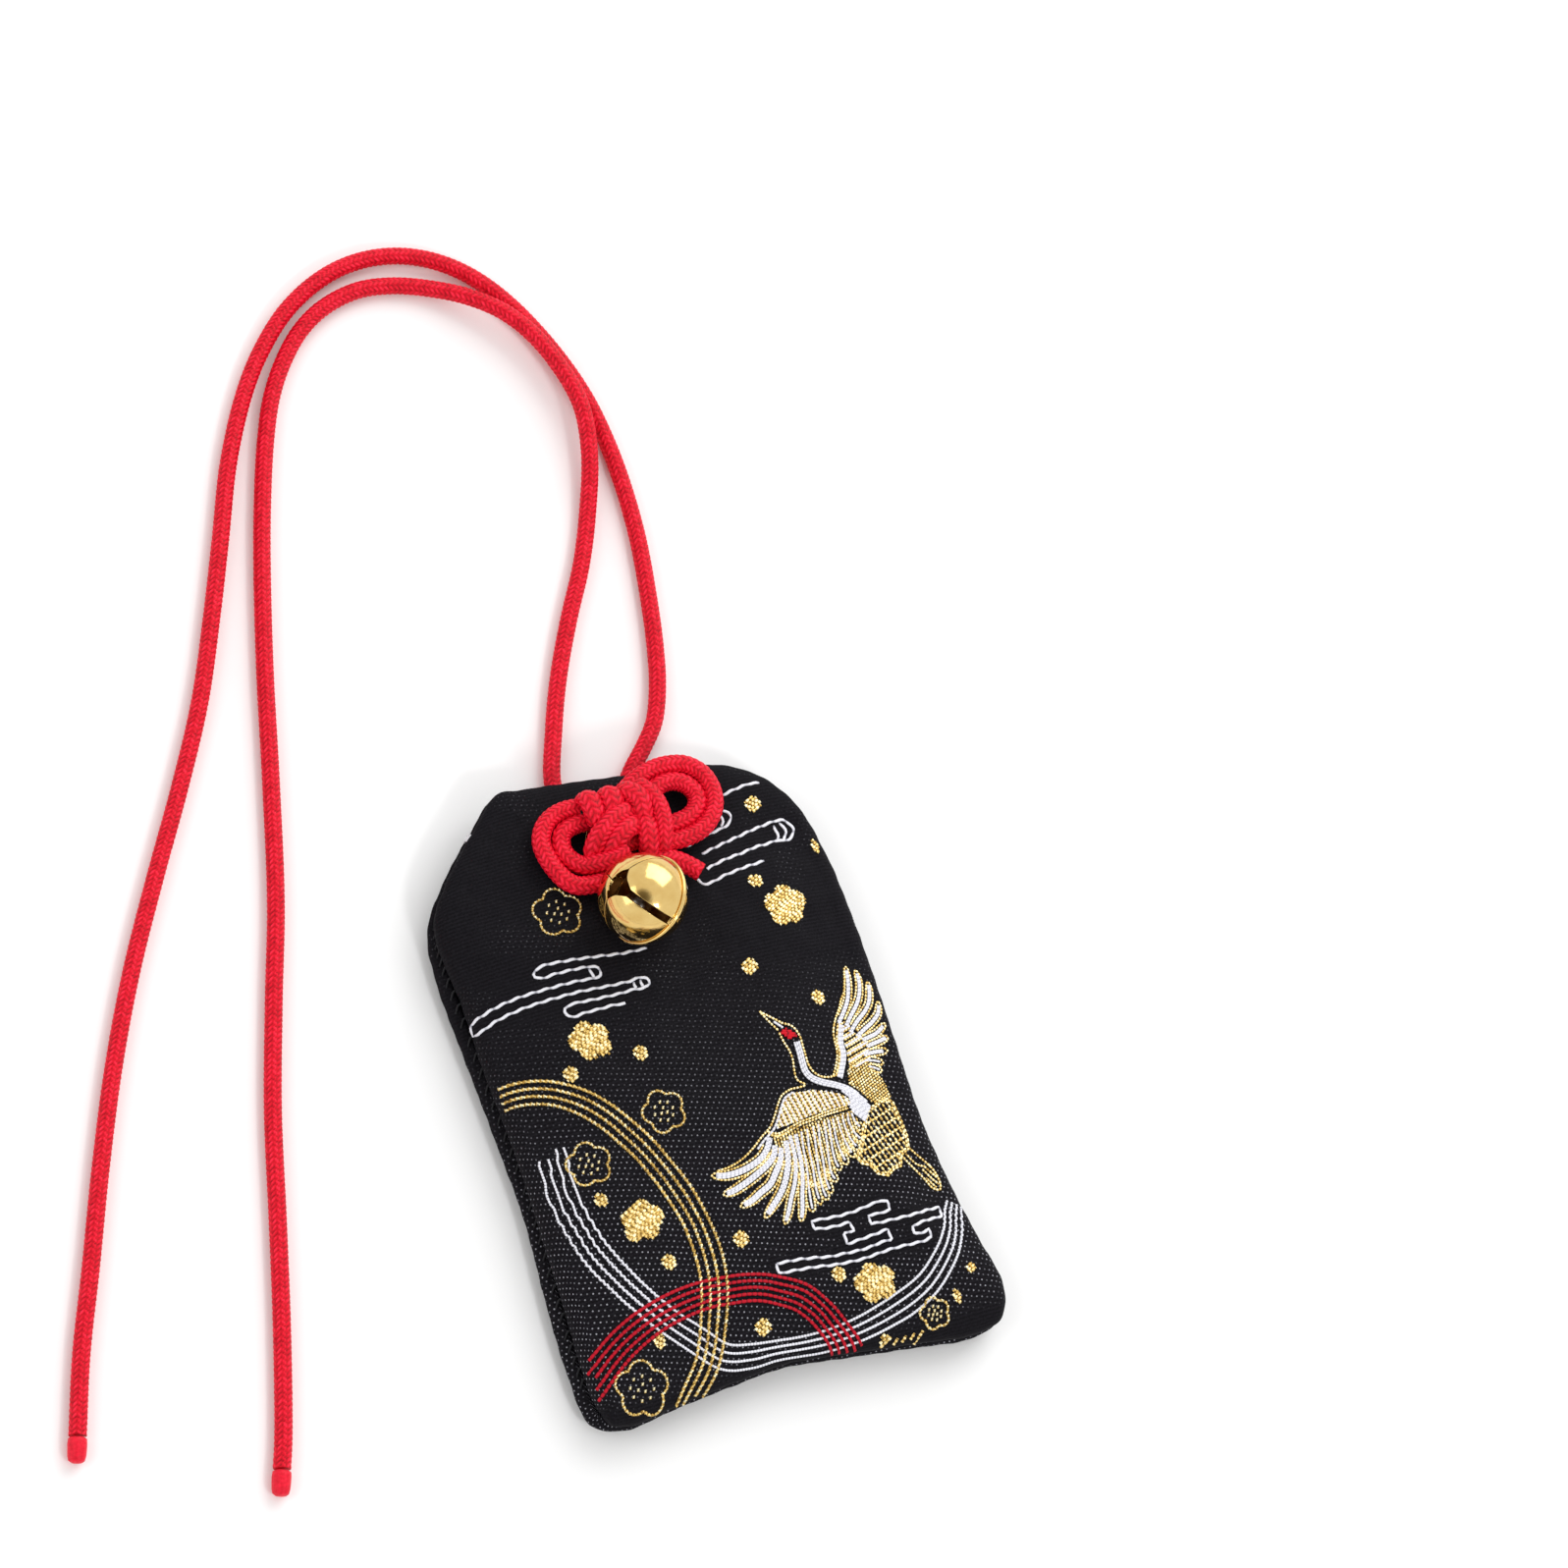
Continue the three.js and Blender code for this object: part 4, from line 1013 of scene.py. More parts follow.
black_sewing = make_sewing_thread("black_sewing", (0.004, 0.004, 0.005), (0.02, 0.02, 0.023))
white_sewing = make_sewing_thread("white_sewing", (0.5, 0.5, 0.53), (0.86, 0.86, 0.88))
stitch_pitch = 1.3
stitch_places = [(1.3, 3.2, -0.45), (1.0, 3.1, -0.4), (0.75, 2.7, 0.0), (0.6, 2.35, 0.4), (1.0, 2.25, 0.45)]
seam_shares = {
    "right_seam": (0.16, 0.4),
    "left_seam": (0.63, 0.86),
    "bottom_seam": (0.895, 1.115),
}
for name, (start, stop) in seam_shares.items():
    count = round((stop - start) * outline_run[-1] / stitch_pitch)
    stitches = []
    for k in range(count):
        share = start + (stop - start) * (k + 0.5) / count
        stitches.append(smooth_route([edge_place(share, *place) for place in stitch_places], 4))
    wire_piece(
        name + "_stitches", stitches, 0.13, 0.15, 8, black_sewing, "charm", name + "_thread"
    )

tack_share = 0.612
tack_gap = 0.17
tack_strands = []
for k in range(6):
    shift = (k - 2.5) * tack_gap
    strand_places = [
        (0.9, 3.6, shift), (0.1, 3.45, shift + 0.04), (-0.06 - 0.03 * (k % 2), 2.7, shift),
        (0.1, 2.0, shift - 0.04), (0.9, 1.9, shift),
    ]
    tack_strands.append(smooth_route([edge_place(tack_share, *place) for place in strand_places], 4))
wire_piece(
    "shoulder_bar_tack", tack_strands, 0.1, 0.15, 8, white_sewing, "charm", "left_shoulder_tack",
)


# Mouth hems
# A strip of the brocade is turned in on each side of the mouth, with its fold at the mouth, and
# the eyelet goes through both of its layers.
hem_left, hem_right = -11, 7
hem_top = 32.05
hem_depth = 6
hem_layer = 0.3
hem_bend = 0.25
hem_turn = 0.4
hem_step = 0.55
hem_heights = {"front_mouth_hem": 4.83, "back_mouth_hem": 3.88}
hem_columns = 36


def folded_strip(name, profile_at, starts, material, wall, turned=False):
    """A folded sheet: its profile at each start, joined by faces, with a wall of its thickness."""
    points = [place for start in starts for place in profile_at(start)]
    width = len(points) // len(starts)
    piece = mesh_piece(name, points, grid_faces(len(starts), width, turned=turned), material)
    add_modifier(piece, "SOLIDIFY", thickness=wall * mm, offset=0)
    bake_modifiers(piece)
    return piece


hem_profile = [(hem_top - hem_depth + k * hem_step, -hem_bend) for k in range(11)]
for k in range(9):
    angle = -math.pi / 2 + math.pi * k / 8
    hem_profile.append((hem_top - hem_turn + hem_bend * math.cos(angle), hem_bend * math.sin(angle)))
hem_profile += [(hem_top - hem_depth + k * hem_step, hem_bend) for k in range(10, -1, -1)]
hem_width = hem_right - hem_left
hem_starts = [hem_left + hem_width * k / hem_columns for k in range(hem_columns + 1)]
for name, middle in hem_heights.items():
    fold = folded_strip(
        name.replace("hem", "fold"), lambda x: [pouch_place(x, y, middle + z) for y, z in hem_profile],
        hem_starts, black_brocade, hem_layer, turned=True,
    )
    cut_eyelet(fold)
    enrol(fold, "charm", name)


# Filling
# From the back: a layer of polyester wadding, a stiff pulp card, the talisman, which is a thin
# wooden board wrapped in white paper, and a thicker layer of wadding under the front.
filling_top = 25
lining_inset = 1.8
fluff_size = 2.2
under_face = 0.85


def pad_ring(scale, height, fluff):
    """One ring of a layer of wadding, uneven as loose fibre is, and cut off below the mouth."""
    flat = (outline_points[::4] + outline_inward[::4] * lining_inset) * scale
    x, y = flat[:, 0], np.minimum(flat[:, 1], filling_top)
    z = mouth_shaped(y, height)
    if fluff:
        z = z - np.abs(cloth_ripple(x, y, fluff, fluff_size, 4.0))
    return np.stack([x, y, z], 1)


def pad_piece(name, top_heights, bottom, top_fluff):
    """A layer of wadding from its top heights at scales of the outline to its flat bottom."""
    rings = [pad_ring(scale, height, top_fluff) for scale, height in top_heights]
    side_height = top_heights[-1][1]
    rings += [pad_ring(0.985, side_height * 0.5 + bottom * 0.5, 0), pad_ring(0.96, bottom, 0)]
    rings += [pad_ring(scale, bottom, 0) for scale in (0.8, 0.5, 0.1)]
    points = np.concatenate([*rings, [rings[0].mean(0), rings[-1].mean(0)]]) * mm + np.array(pouch_middle)
    faces = fan_faces(len(rings), outline_count // 4, len(points) - 1, len(points) - 2)
    return mesh_piece(name, points, faces, white_fibre)


# Matted white fibre.
white_fibre = grainy_material(
    "white_fibre", (0.25 * mm, 5.0, 0.75), [(0.3, (0.62, 0.6, 0.56)), (0.7, (0.9, 0.89, 0.86))],
    (0.3 * mm, 0.8), Roughness=0.95, Subsurface_Weight=0.1,
)
back_tops = [(scale, 2.1) for scale in (0.05, 0.2, 0.35, 0.5, 0.65, 0.8, 0.92, 0.98)]
back_pad = pad_piece("back_fibre_pad", back_tops, 0.8, 0.15)
front_tops = [
    (scale, shoulder_height + crown_height * (1 - scale ** 3) - under_face)
    for scale in (0.05, 0.15, 0.3, 0.45, 0.6, 0.72, 0.82, 0.9, 0.94)
]
front_tops.append((0.99, 4.3))
front_pad = pad_piece("front_fibre_pad", front_tops, 3.15, 0.25)
pocket = (-15.7, 15.7), (-26.3, 18.3), (2.5, 5.9)
corners = [pouch_place(x, y, z) for z in pocket[2] for y in pocket[1] for x in pocket[0]]
pocket_faces = [(0, 2, 3, 1), (4, 5, 7, 6), (0, 1, 5, 4), (2, 6, 7, 3), (0, 4, 6, 2), (1, 3, 7, 5)]
cut_away(front_pad, mesh_piece("pocket_cutter", corners, pocket_faces, white_fibre, smooth=False))
for pad, node in ((back_pad, "back_wadding"), (front_pad, "front_wadding")):
    enrol(pad, "charm", node)

# Grey-brown pulp card with darker flecks.
pulp_card = grainy_material(
    "pulp_card", (0.5 * mm, 4.0, 0.7),
    [(0.3, (0.22, 0.17, 0.11)), (0.45, (0.45, 0.38, 0.28)), (0.8, (0.55, 0.47, 0.36))],
    (0.05 * mm, 0.4), Roughness=0.9, Specular_IOR_Level=0.2,
)


def make_plain_wood():
    """Pale planed wood whose grain runs along the board."""
    material, tree, shader = new_material("planed_wood", Roughness=0.7, Specular_IOR_Level=0.25)
    where = add_node(tree, "ShaderNodeTexCoord", output="Object")
    across, along = 1 / (1.2 * mm), 1 / (20 * mm)
    stretched = add_node(tree, "ShaderNodeMapping", {"Vector": where, "Scale": (across, along, across)})
    grain = add_node(tree, "ShaderNodeTexNoise", {"Vector": stretched, "Scale": 1.0, "Detail": 4.0})
    stops = [(0.3, (0.46, 0.29, 0.13)), (0.5, (0.68, 0.49, 0.27)), (0.7, (0.74, 0.56, 0.33))]
    dress(tree, shader, colour_ramp(tree, grain, stops), grain, 0.05 * mm, 0.4)
    return material


for node, material in (("stiffener_card", pulp_card), ("talisman_board", make_plain_wood())):
    for material_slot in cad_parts[node].material_slots:
        material_slot.material = material

# White handmade paper with a faint tooth of fibres.
white_paper = grainy_material(
    "white_paper", (0.4 * mm, 4.0, 0.65), [(0.3, (0.78, 0.76, 0.7)), (0.7, (0.9, 0.88, 0.83))],
    (0.04 * mm, 0.4), Roughness=0.85, Specular_IOR_Level=0.2,
)
wrap_half = 15.28
wrap_corner = 0.5
wrap_low = 3.28
wrap_high = 5.42
wrap_lap = 8
lap_rise = 0.27
lap_slope = 1.5
paper_thickness = 0.22
wrap_profile = [(-wrap_lap / 2, wrap_high)]
for x, z, first in ((-1, 1, 90), (-1, -1, 180), (1, -1, 270), (1, 1, 0)):
    for k in range(7):
        angle = math.radians(first + 15 * k)
        corner_z = wrap_high - wrap_corner if z > 0 else wrap_low + wrap_corner
        wrap_profile.append((
            x * (wrap_half - wrap_corner) + wrap_corner * math.cos(angle),
            corner_z + wrap_corner * math.sin(angle),
        ))
wrap_profile += [(wrap_lap / 2 + lap_slope, wrap_high)]
wrap_profile += [(x, wrap_high + lap_rise) for x in (wrap_lap / 2, -wrap_lap / 2)]
wrap_bottom, wrap_top = -26, 18
wrap_rows = 24
wrap_starts = [wrap_bottom + (wrap_top - wrap_bottom) * k / wrap_rows for k in range(wrap_rows + 1)]
sleeve = folded_strip(
    "talisman_paper_wrap", lambda y: [pouch_place(x, y, z) for x, z in wrap_profile], wrap_starts,
    white_paper, paper_thickness,
)
enrol(sleeve, "charm", "talisman_sleeve")


# Woven pattern
# The jacquard's own coloured threads, which float over the black ground: gilt thread for the
# blossoms, ribbons and feather edges, white for the mist, ribbons and feathers, red for one ribbon.
row_numbers_apart = 7919.0  # keeps the threads' random numbers apart
front_tree = BVHTree.FromObject(front_cloth, bpy.context.evaluated_depsgraph_get())


def on_panel(x, y, lift):
    """The place of a thread over the front panel, from pouch millimetres."""
    place, normal, _, _ = front_tree.ray_cast(pouch_place(x, y, 30), Vector((0, 0, -1)))
    if place is None:
        return None
    return place + normal * lift * mm


def make_thread_tree():
    """A woven float: a flattened thread that turns on itself and dips under the cloth at every stitch."""
    sizes = ("Width", "Height", "Step", "Stitch", "Neck", "Twist", "Sway", "Sway Length")
    tree, given = new_tree("woven thread", sizes, ("Sides",))
    along = add_node(tree, "GeometryNodeSplineParameter", output="Length")
    row = add_node(tree, "GeometryNodeInputNamedAttribute", {"Name": "row"}, "Attribute")
    phase = along / given["Stitch"] + row
    swell = (phase * math.pi).math("SINE").math("ABSOLUTE").math("POWER", 0.6)
    number = row.scaled(row_numbers_apart, phase.math("FLOOR")).math("FLOOR")
    curve, swell, painted_glint = capture(tree, line_rings(tree, given), swell, random_value(tree, number, 11))
    swing = (along / given["Sway Length"] * (2 * math.pi)).math("SINE") * given["Sway"]
    turned = add_node(tree, "GeometryNodeSetCurveTilt", {
        "Curve": pushed(tree, curve, swing), "Tilt": phase * given["Twist"] * math.pi,
    })
    section = oval_section(tree, given, circle_section(tree, given, 0.5))
    thick = given["Neck"] + (Field(tree, 1.0) - given["Neck"]) * swell
    # The swell and each stitch's random share go to the material, for painted shade in the dips and a painted
    # glint.
    skin = named(tree, swept(tree, turned, section, thick), "stitch", swell)
    return close_tree(tree, given, named(tree, skin, "painted_glint", painted_glint))


def make_gilt_thread():
    """Paper-backed gilt foil wound on a core: some stitches carry a painted glint and the rest stay brown,
    with painted shade where each dips under the cloth.
    """
    material, tree, shader = new_material("gilt_thread", Metallic=0.7, Roughness=0.36)
    grain = object_noise(tree, 0.16 * mm, 1.0)
    # Painted light: the swell darkens each dip as painted shade, and the random share lights some stitches as
    # a painted glint. The grain is the foil's own.
    tone = carried(tree, "stitch") * carried(tree, "painted_glint").scaled(0.55, 0.45) + grain.scaled(0.9, -0.45)
    stops = [
        (0.05, (0.05, 0.022, 0.004)), (0.3, (0.38, 0.21, 0.035)), (0.55, (0.85, 0.6, 0.18)),
        (0.85, (1.0, 0.92, 0.6)),
    ]
    dress(tree, shader, colour_ramp(tree, tone, stops), grain, 0.05 * mm, 0.5)
    return material


def make_plain_thread(name, deep, bright):
    """Dyed silk-like weft thread, with painted shade where it dips under the cloth."""
    material, tree, shader = new_material(name, Roughness=0.55, Specular_IOR_Level=0.2)
    fibres = object_noise(tree, 0.08 * mm, 2.0)
    tone = carried(tree, "stitch") + fibres.scaled(0.4, -0.2)
    dress(tree, shader, colour_ramp(tree, tone, [(0.1, deep), (0.7, bright)]), fibres, 0.04 * mm, 0.4)
    return material


thread_tree = make_thread_tree()
gilt_thread = make_gilt_thread()
white_thread = make_plain_thread("white_weft", (0.32, 0.32, 0.38), (0.84, 0.84, 0.9))
red_thread = make_plain_thread("red_weft", (0.1, 0.0, 0.005), (0.5, 0.002, 0.016))
crown_thread = make_plain_thread("crown_weft", (0.12, 0.0, 0.005), (0.62, 0.002, 0.014))
laying_step = 0.7
drawing_step = 0.12
row_shift = 0.37
warp_cell = 0.28
hatch_slant = 0.45


def woven(name, runs, material, width, stitch, neck=0.45, twist=0.0, sway=0.0, sway_length=1.0,
          lift=0.03, height=0.16):
    """One group of woven threads from runs of pouch millimetres, each with its row's shift."""
    laid = []
    rows = []
    for points, row in runs:
        fine = []
        for (ax, ay), (bx, by) in zip(points, points[1:]):
            parts = max(1, int(math.hypot(bx - ax, by - ay) / laying_step))
            fine += [(ax + (bx - ax) * k / parts, ay + (by - ay) * k / parts) for k in range(parts)]
        fine.append(points[-1])
        places = [on_panel(x, y, lift) for x, y in fine]
        places = [place for place in places if place is not None]
        if len(places) > 1:
            laid.append(places)
            rows.append(row)
    piece = grown_piece(name, thread_tree, laid, {
        "Width": width * mm, "Height": height * mm, "Step": stitch * mm / 5, "Stitch": stitch * mm,
        "Neck": neck, "Twist": twist, "Sway": sway * mm, "Sway Length": sway_length * mm, "Sides": 6,
        "Material": material,
    }, rows)
    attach(piece, "charm")
    return piece


def curved(points, parts=6):
    """A fine flat line through points."""
    steps = (len(points) - 1) * parts
    return [tuple(p) for p in smooth_curve(points, np.linspace(0, 1, steps + 1))]


def beside(points, distance):
    """A line that runs beside another one at a distance, or at one distance for each point."""
    moved = []
    for i, ((x, y), away) in enumerate(zip(points, np.broadcast_to(distance, len(points)))):
        ax, ay = points[max(i - 1, 0)]
        bx, by = points[min(i + 1, len(points) - 1)]
        run = math.hypot(bx - ax, by - ay)
        moved.append((x - (by - ay) / run * away, y + (bx - ax) / run * away))
    return moved


def ribbon(points, count, gaps, starts=None):
    """The parallel lines of a striped ribbon, as runs. The gap between lines goes through gaps."""
    line = curved(points)
    shares = np.linspace(0, 1, len(line))
    gap_at = np.interp(shares, [share for share, _ in gaps], [gap for _, gap in gaps])
    runs = []
    for k in range(count):
        side = k - (count - 1) / 2
        moved = []
        for i, gap in enumerate(gap_at):
            moved.append(beside(line[max(i - 1, 0):i + 2], side * gap)[min(i, 1)])
        runs.append((moved[starts[k] if starts else 0:], row_shift * k))
    return runs


def stepped(points, cell):
    """A line drawn by a loom: where it climbs, it stands on one warp thread and then skips to the next."""
    drawn = []
    for (ax, ay), (bx, by) in zip(points, points[1:]):
        parts = max(1, int(math.hypot(bx - ax, by - ay) / drawing_step))
        steep = abs(by - ay) > 1.2 * abs(bx - ax)
        for k in range(parts):
            x = ax + (bx - ax) * k / parts
            y = ay + (by - ay) * k / parts
            if steep:
                low = math.floor(x / cell)
                rest = min(1, max(0, (x / cell - low - 0.35) / 0.3))
                x = cell * (low + rest * rest * (3 - 2 * rest))
            drawn.append((x, y))
    return [*drawn, points[-1]]


def rows_where(inside, centre, reach, gap, slant, shift=0.0):
    """Rows of thread that fill a shape: slanted lines wherever a test of a place says yes."""
    runs = []
    along = (math.cos(slant), math.sin(slant))
    count = int(reach / gap)
    for row in range(-count, count + 1):
        current = []
        steps = int(2 * reach / drawing_step)
        away = (row + shift) * gap
        for k in range(steps + 1):
            t = -reach + drawing_step * k
            x = centre[0] + along[0] * t - along[1] * away
            y = centre[1] + along[1] * t + along[0] * away
            if inside(x, y):
                current.append((x, y))
            elif current:
                if len(current) > 2:
                    runs.append(([current[0], current[-1]], row_shift * row))
                current = []
    return runs


def hatched(outline, centre, reach, gap, slant, shift=0.0):
    """Rows of thread that fill an outline."""
    def inside(x, y):
        crossings = 0
        for (ax, ay), (bx, by) in zip(outline, outline[1:] + outline[:1]):
            if (ay > y) != (by > y) and x < ax + (y - ay) / (by - ay) * (bx - ax):
                crossings += 1
        return crossings % 2 == 1
    return rows_where(inside, centre, reach, gap, slant, shift)


def plum_reach(angle, radius):
    """How far a plum blossom of five round petals reaches at an angle."""
    off = (angle + math.pi / 5) % (2 * math.pi / 5) - math.pi / 5
    petal = 0.47 * radius
    middle = 0.55 * radius
    return middle * math.cos(off) + math.sqrt(petal ** 2 - (middle * math.sin(off)) ** 2)


def solid_blossom(x, y, radius, turn):
    """A plum blossom filled with rows of gilt thread."""
    def inside(px, py):
        angle = math.atan2(py - y, px - x)
        uneven = 1 + 0.07 * math.sin(2 * angle + 5 * turn)
        return math.hypot(px - x, py - y) < plum_reach(angle - turn, radius) * uneven
    return rows_where(inside, (x, y), radius * 1.2, 0.3, hatch_slant)


def outlined_blossom(x, y, radius, turn):
    """A plum blossom in outline with a heart of small dots."""
    edge = []
    for k in range(61):
        angle = 2 * math.pi * k / 60
        far = plum_reach(angle - turn, radius)
        edge.append((x + far * math.cos(angle), y + far * math.sin(angle)))
    runs = [(edge, 0.0)]
    for ring, count in ((0.16, 3), (0.45, 8)):
        for k in range(count):
            angle = turn + 2 * math.pi * (k + 0.5) / count
            px = x + ring * radius * math.cos(angle)
            py = y + ring * radius * math.sin(angle)
            runs.append(([(px + 0.03, py + 0.16), (px - 0.03, py - 0.16)], 0.25))
    return runs


def gold_fleck(x, y, size, wide=1.0):
    """A small fleck of three or four gilt stitches."""
    def inside(px, py):
        return math.hypot((px - x) / wide, (py - y) * wide) < size * 1.08
    return rows_where(inside, (x, y), size * 1.4, 0.33, hatch_slant)


solid_blossoms = [
    (14, 15.1, 2.5, 0.2), (-13, 5.7, 2.35, 0.5), (-14, -15.1, 2.4, 0.1), (9.6, -28.3, 2.35, 0.4),
]
outlined_blossoms = [
    (-11.7, 20.6, 2.75, 0.2), (-7.7, -4.1, 2.4, 0.5), (-17.4, -7.4, 2.4, 0.3), (-19.4, -32.4, 2.95, 0.1),
    (15.4, -33.2, 1.7, 0.4),
]
gold_flecks = [
    (14.6, 27.5, 0.9), (20.4, 21.3, 0.6, 0.85), (11.45, 18.6, 0.75, 1.15), (7.3, 9.2, 0.9), (14, 4, 0.8),
    (-8, 2.9, 0.8), (-16.2, 2.7, 0.8), (-17.5, -11.6, 0.7), (-12.5, -20.2, 0.8), (-3.9, -19.9, 0.85),
    (5.8, -26.4, 0.8), (21, -29.5, 0.6), (18.4, -32.1, 0.6, 0.85), (-4.2, -29.6, 0.9),
    (-16.1, -28, 0.75, 0.85), (9.2, -34.6, 0.7),
]
filled = [run for blossom in solid_blossoms for run in solid_blossom(*blossom)]
filled += [run for fleck in gold_flecks for run in gold_fleck(*fleck)]
woven("gilt_blossoms", filled, gilt_thread, 0.42, 0.6, neck=0.4, lift=0.06, height=0.22)
lined = [run for blossom in outlined_blossoms for run in outlined_blossom(*blossom)]
woven("gilt_blossom_outlines", lined, gilt_thread, 0.48, 0.5, neck=0.5, twist=1.0, height=0.26)

gold_ribbon = [
    (-25.4, 2.4), (-20.8, 2.1), (-16.2, -0.4), (-12, -5.9), (-9.3, -12.3), (-8, -18.1), (-8.2, -23.4),
    (-9.8, -28.2), (-11.6, -31.8), (-14.2, -34.6), (-15.2, -35.6),
]
gold_lines = ribbon(gold_ribbon, 4, [(0, 0.8), (0.5, 1.0), (0.65, 0.98), (0.8, 0.88), (1, 0.65)])
woven("gold_ribbon", gold_lines, gilt_thread, 0.6, 0.6, neck=0.55, twist=1.0, lift=0.05, height=0.3)
gold_stripes = [[(9.0 + k, -36.0), (10.6 + k, -34.6)] for k in range(4)]
woven("gold_stripes", [(points, 0.3) for points in gold_stripes], gilt_thread, 0.38, 0.46, neck=0.5)

white_ribbon = [
    (-20.7, -4.6), (-21.1, -10.2), (-20.3, -15), (-19.6, -17.3), (-16.2, -24.1), (-11.9, -29.1),
    (-9.4, -31.5), (-6.2, -32.2), (-3.6, -32.3), (3, -32.8), (8.8, -32.2), (15.6, -29.9), (20.3, -25.3),
    (21.4, -23), (22, -22),
]
white_lines = ribbon(
    white_ribbon, 4, [(0, 0.98), (0.42, 0.95), (0.5, 0.8), (0.6, 0.62), (0.75, 0.95), (1, 0.6)],
    starts=(1, 1, 0, 0),
)
woven(
    "white_ribbon", [(stepped(points, warp_cell), row) for points, row in white_lines], white_thread,
    0.3, 0.35, neck=0.75, lift=0.02, height=0.2,
)

red_ribbon = [
    (-26.4, -32.2), (-25.2, -31), (-20.1, -27.3), (-15.2, -25.4), (-10.3, -24.65), (-7.2, -24.8),
    (-3.9, -25.3), (-2, -26), (0.8, -27.6), (2.6, -29.7), (4, -32.5), (4.9, -34.8),
]
red_lines = ribbon(red_ribbon, 5, [(0, 0.87), (0.4, 0.72), (0.8, 0.72), (1, 0.8)])
woven("red_ribbon", red_lines, red_thread, 0.39, 0.6, neck=0.75, lift=0.12, height=0.2)

mist_lines = [curved(points) for points in (
    [(-3.4, 14.1), (-6.7, 14.2), (-9.9, 14.65), (-13.1, 15), (-15.2, 15.15), (-16.3, 14.9), (-16.6, 14.3),
     (-16, 13.85), (-14.7, 13.9), (-12.5, 13.8), (-10.9, 13.7), (-10, 13.6), (-9.5, 13.15), (-9.45, 12.45),
     (-10.4, 12.3), (-12.2, 12.4), (-13.9, 12.5), (-15.6, 12.55), (-17.35, 12.55), (-19.3, 12.5),
     (-21.1, 12.3), (-22.8, 11.95), (-24.2, 11.45), (-24.6, 10.9), (-24.5, 10.3), (-23.9, 10.2),
     (-22.2, 10.75), (-20.5, 11.05), (-18.6, 11.25), (-16.7, 11.3), (-15.05, 11.3), (-13.2, 11.25),
     (-10.1, 11.1), (-8.4, 11), (-6.4, 10.95), (-5.4, 11.05), (-4.7, 10.85), (-4.55, 10.05), (-5.2, 9.85),
     (-6.6, 9.95), (-8.2, 9.9), (-9.8, 9.95), (-11.5, 10), (-13.2, 10.1), (-14, 10.1), (-14.6, 9.75),
     (-14.5, 9), (-13.9, 8.75), (-12.6, 8.8), (-10.8, 8.8), (-9.2, 8.8),
     (-7.9, 8.65)],
    [(-10.6, 13.45), (-10.4, 12.95), (-10.4, 12.4)],
    [(-6.2, 10.75), (-6.1, 10.05)],
    [(-5.4, 10.8), (-5.3, 10.05)],
    [(11.5, 29.3), (12.45, 29.5), (14.1, 29.8), (15.3, 29.9), (16.3, 29.75)],
    [(5.3, 24.45), (6.9, 24.9), (8.5, 25.25), (9.9, 25.5), (10.95, 25.85), (11.4, 26.3), (11.5, 26.85),
     (11.35, 27.3), (10.95, 27.55)],
    [(10.3, 27.3), (10.5, 26.8), (10.45, 26.4), (10, 25.75)],
    [(6.6, 23.15), (8.3, 23.5), (10.2, 23.9), (12, 24.25), (13.7, 24.6), (15.5, 24.9), (17.05, 25.05),
     (17.7, 24.9), (18.2, 24.5), (18.5, 23.8), (18.3, 23.2), (17.7, 22.75), (16.9, 22.6), (16, 22.8),
     (14.8, 22.65), (13.05, 22.5), (11.2, 22.15), (9.4, 21.9), (7.6, 21.55), (6.5, 21.25)],
    [(16.2, 24.55), (16.3, 23.9), (16.3, 23.3), (16.1, 22.85)],
    [(16.95, 24.75), (17.35, 24.3), (17.45, 23.6), (17.2, 23.1), (16.85, 22.7)],
    [(13.45, 20.7), (11.5, 20.5), (9.7, 20.25), (8, 20), (6.7, 19.65), (5.8, 19.55), (5.15, 19.8),
     (5, 20.3)],
)]
key_mist = [
    (-0.8, -23.5), (1.8, -23.7), (3.65, -24), (5.4, -24.3), (7, -24.4), (8.45, -24.5), (9.95, -24.5),
    (11.5, -24.3), (12.85, -24.3), (12.8, -23.1), (11.1, -23.3), (9.5, -23.4), (7.7, -23.5), (7.75, -22.3),
    (9, -22.25), (8.8, -21.25), (7.2, -21.3), (5.9, -21.2), (4.6, -21), (4.5, -20.05), (6.35, -20.2),
    (8.1, -20.3), (9.8, -20.25), (11.4, -20.05), (13, -19.9), (13.7, -20.2), (13.7, -21.15), (12.4, -21.2),
    (11.1, -21.1), (11.15, -22.1), (12.4, -22.2), (13.8, -22.25), (15.3, -22.3), (16.8, -22.25),
    (18.3, -22.1), (19.9, -22.05), (19.8, -23.1), (18.7, -23.2), (17.4, -23.25), (15.7, -23.5), (15.6, -24.4),
    (16.4, -24.5), (17.4, -24.3), (17.5, -25.2), (16.4, -25.4), (15, -25.35), (13.5, -25.3), (12, -25.3),
    (10.4, -25.4), (8.9, -25.5), (7.4, -25.45), (5.65, -25.3), (3.9, -25.05), (2.2, -24.85), (0.7, -24.7),
    (-0.85, -24.6), (-0.8, -23.5),
]
mist_runs = [(points, 0.0) for points in (*mist_lines, key_mist)]
woven("white_mist", mist_runs, white_thread, 0.36, 1.65, neck=0.62, sway=0.06, sway_length=1.65, height=0.2)


# Crane
# A flying crane woven beside the middle, of the kind that such brocades have carried for
# centuries: white feathers with gilt edges, a gilt lattice for the tail and a red crown.
feather_white = []
feather_gold = []
barb_gap = 0.21


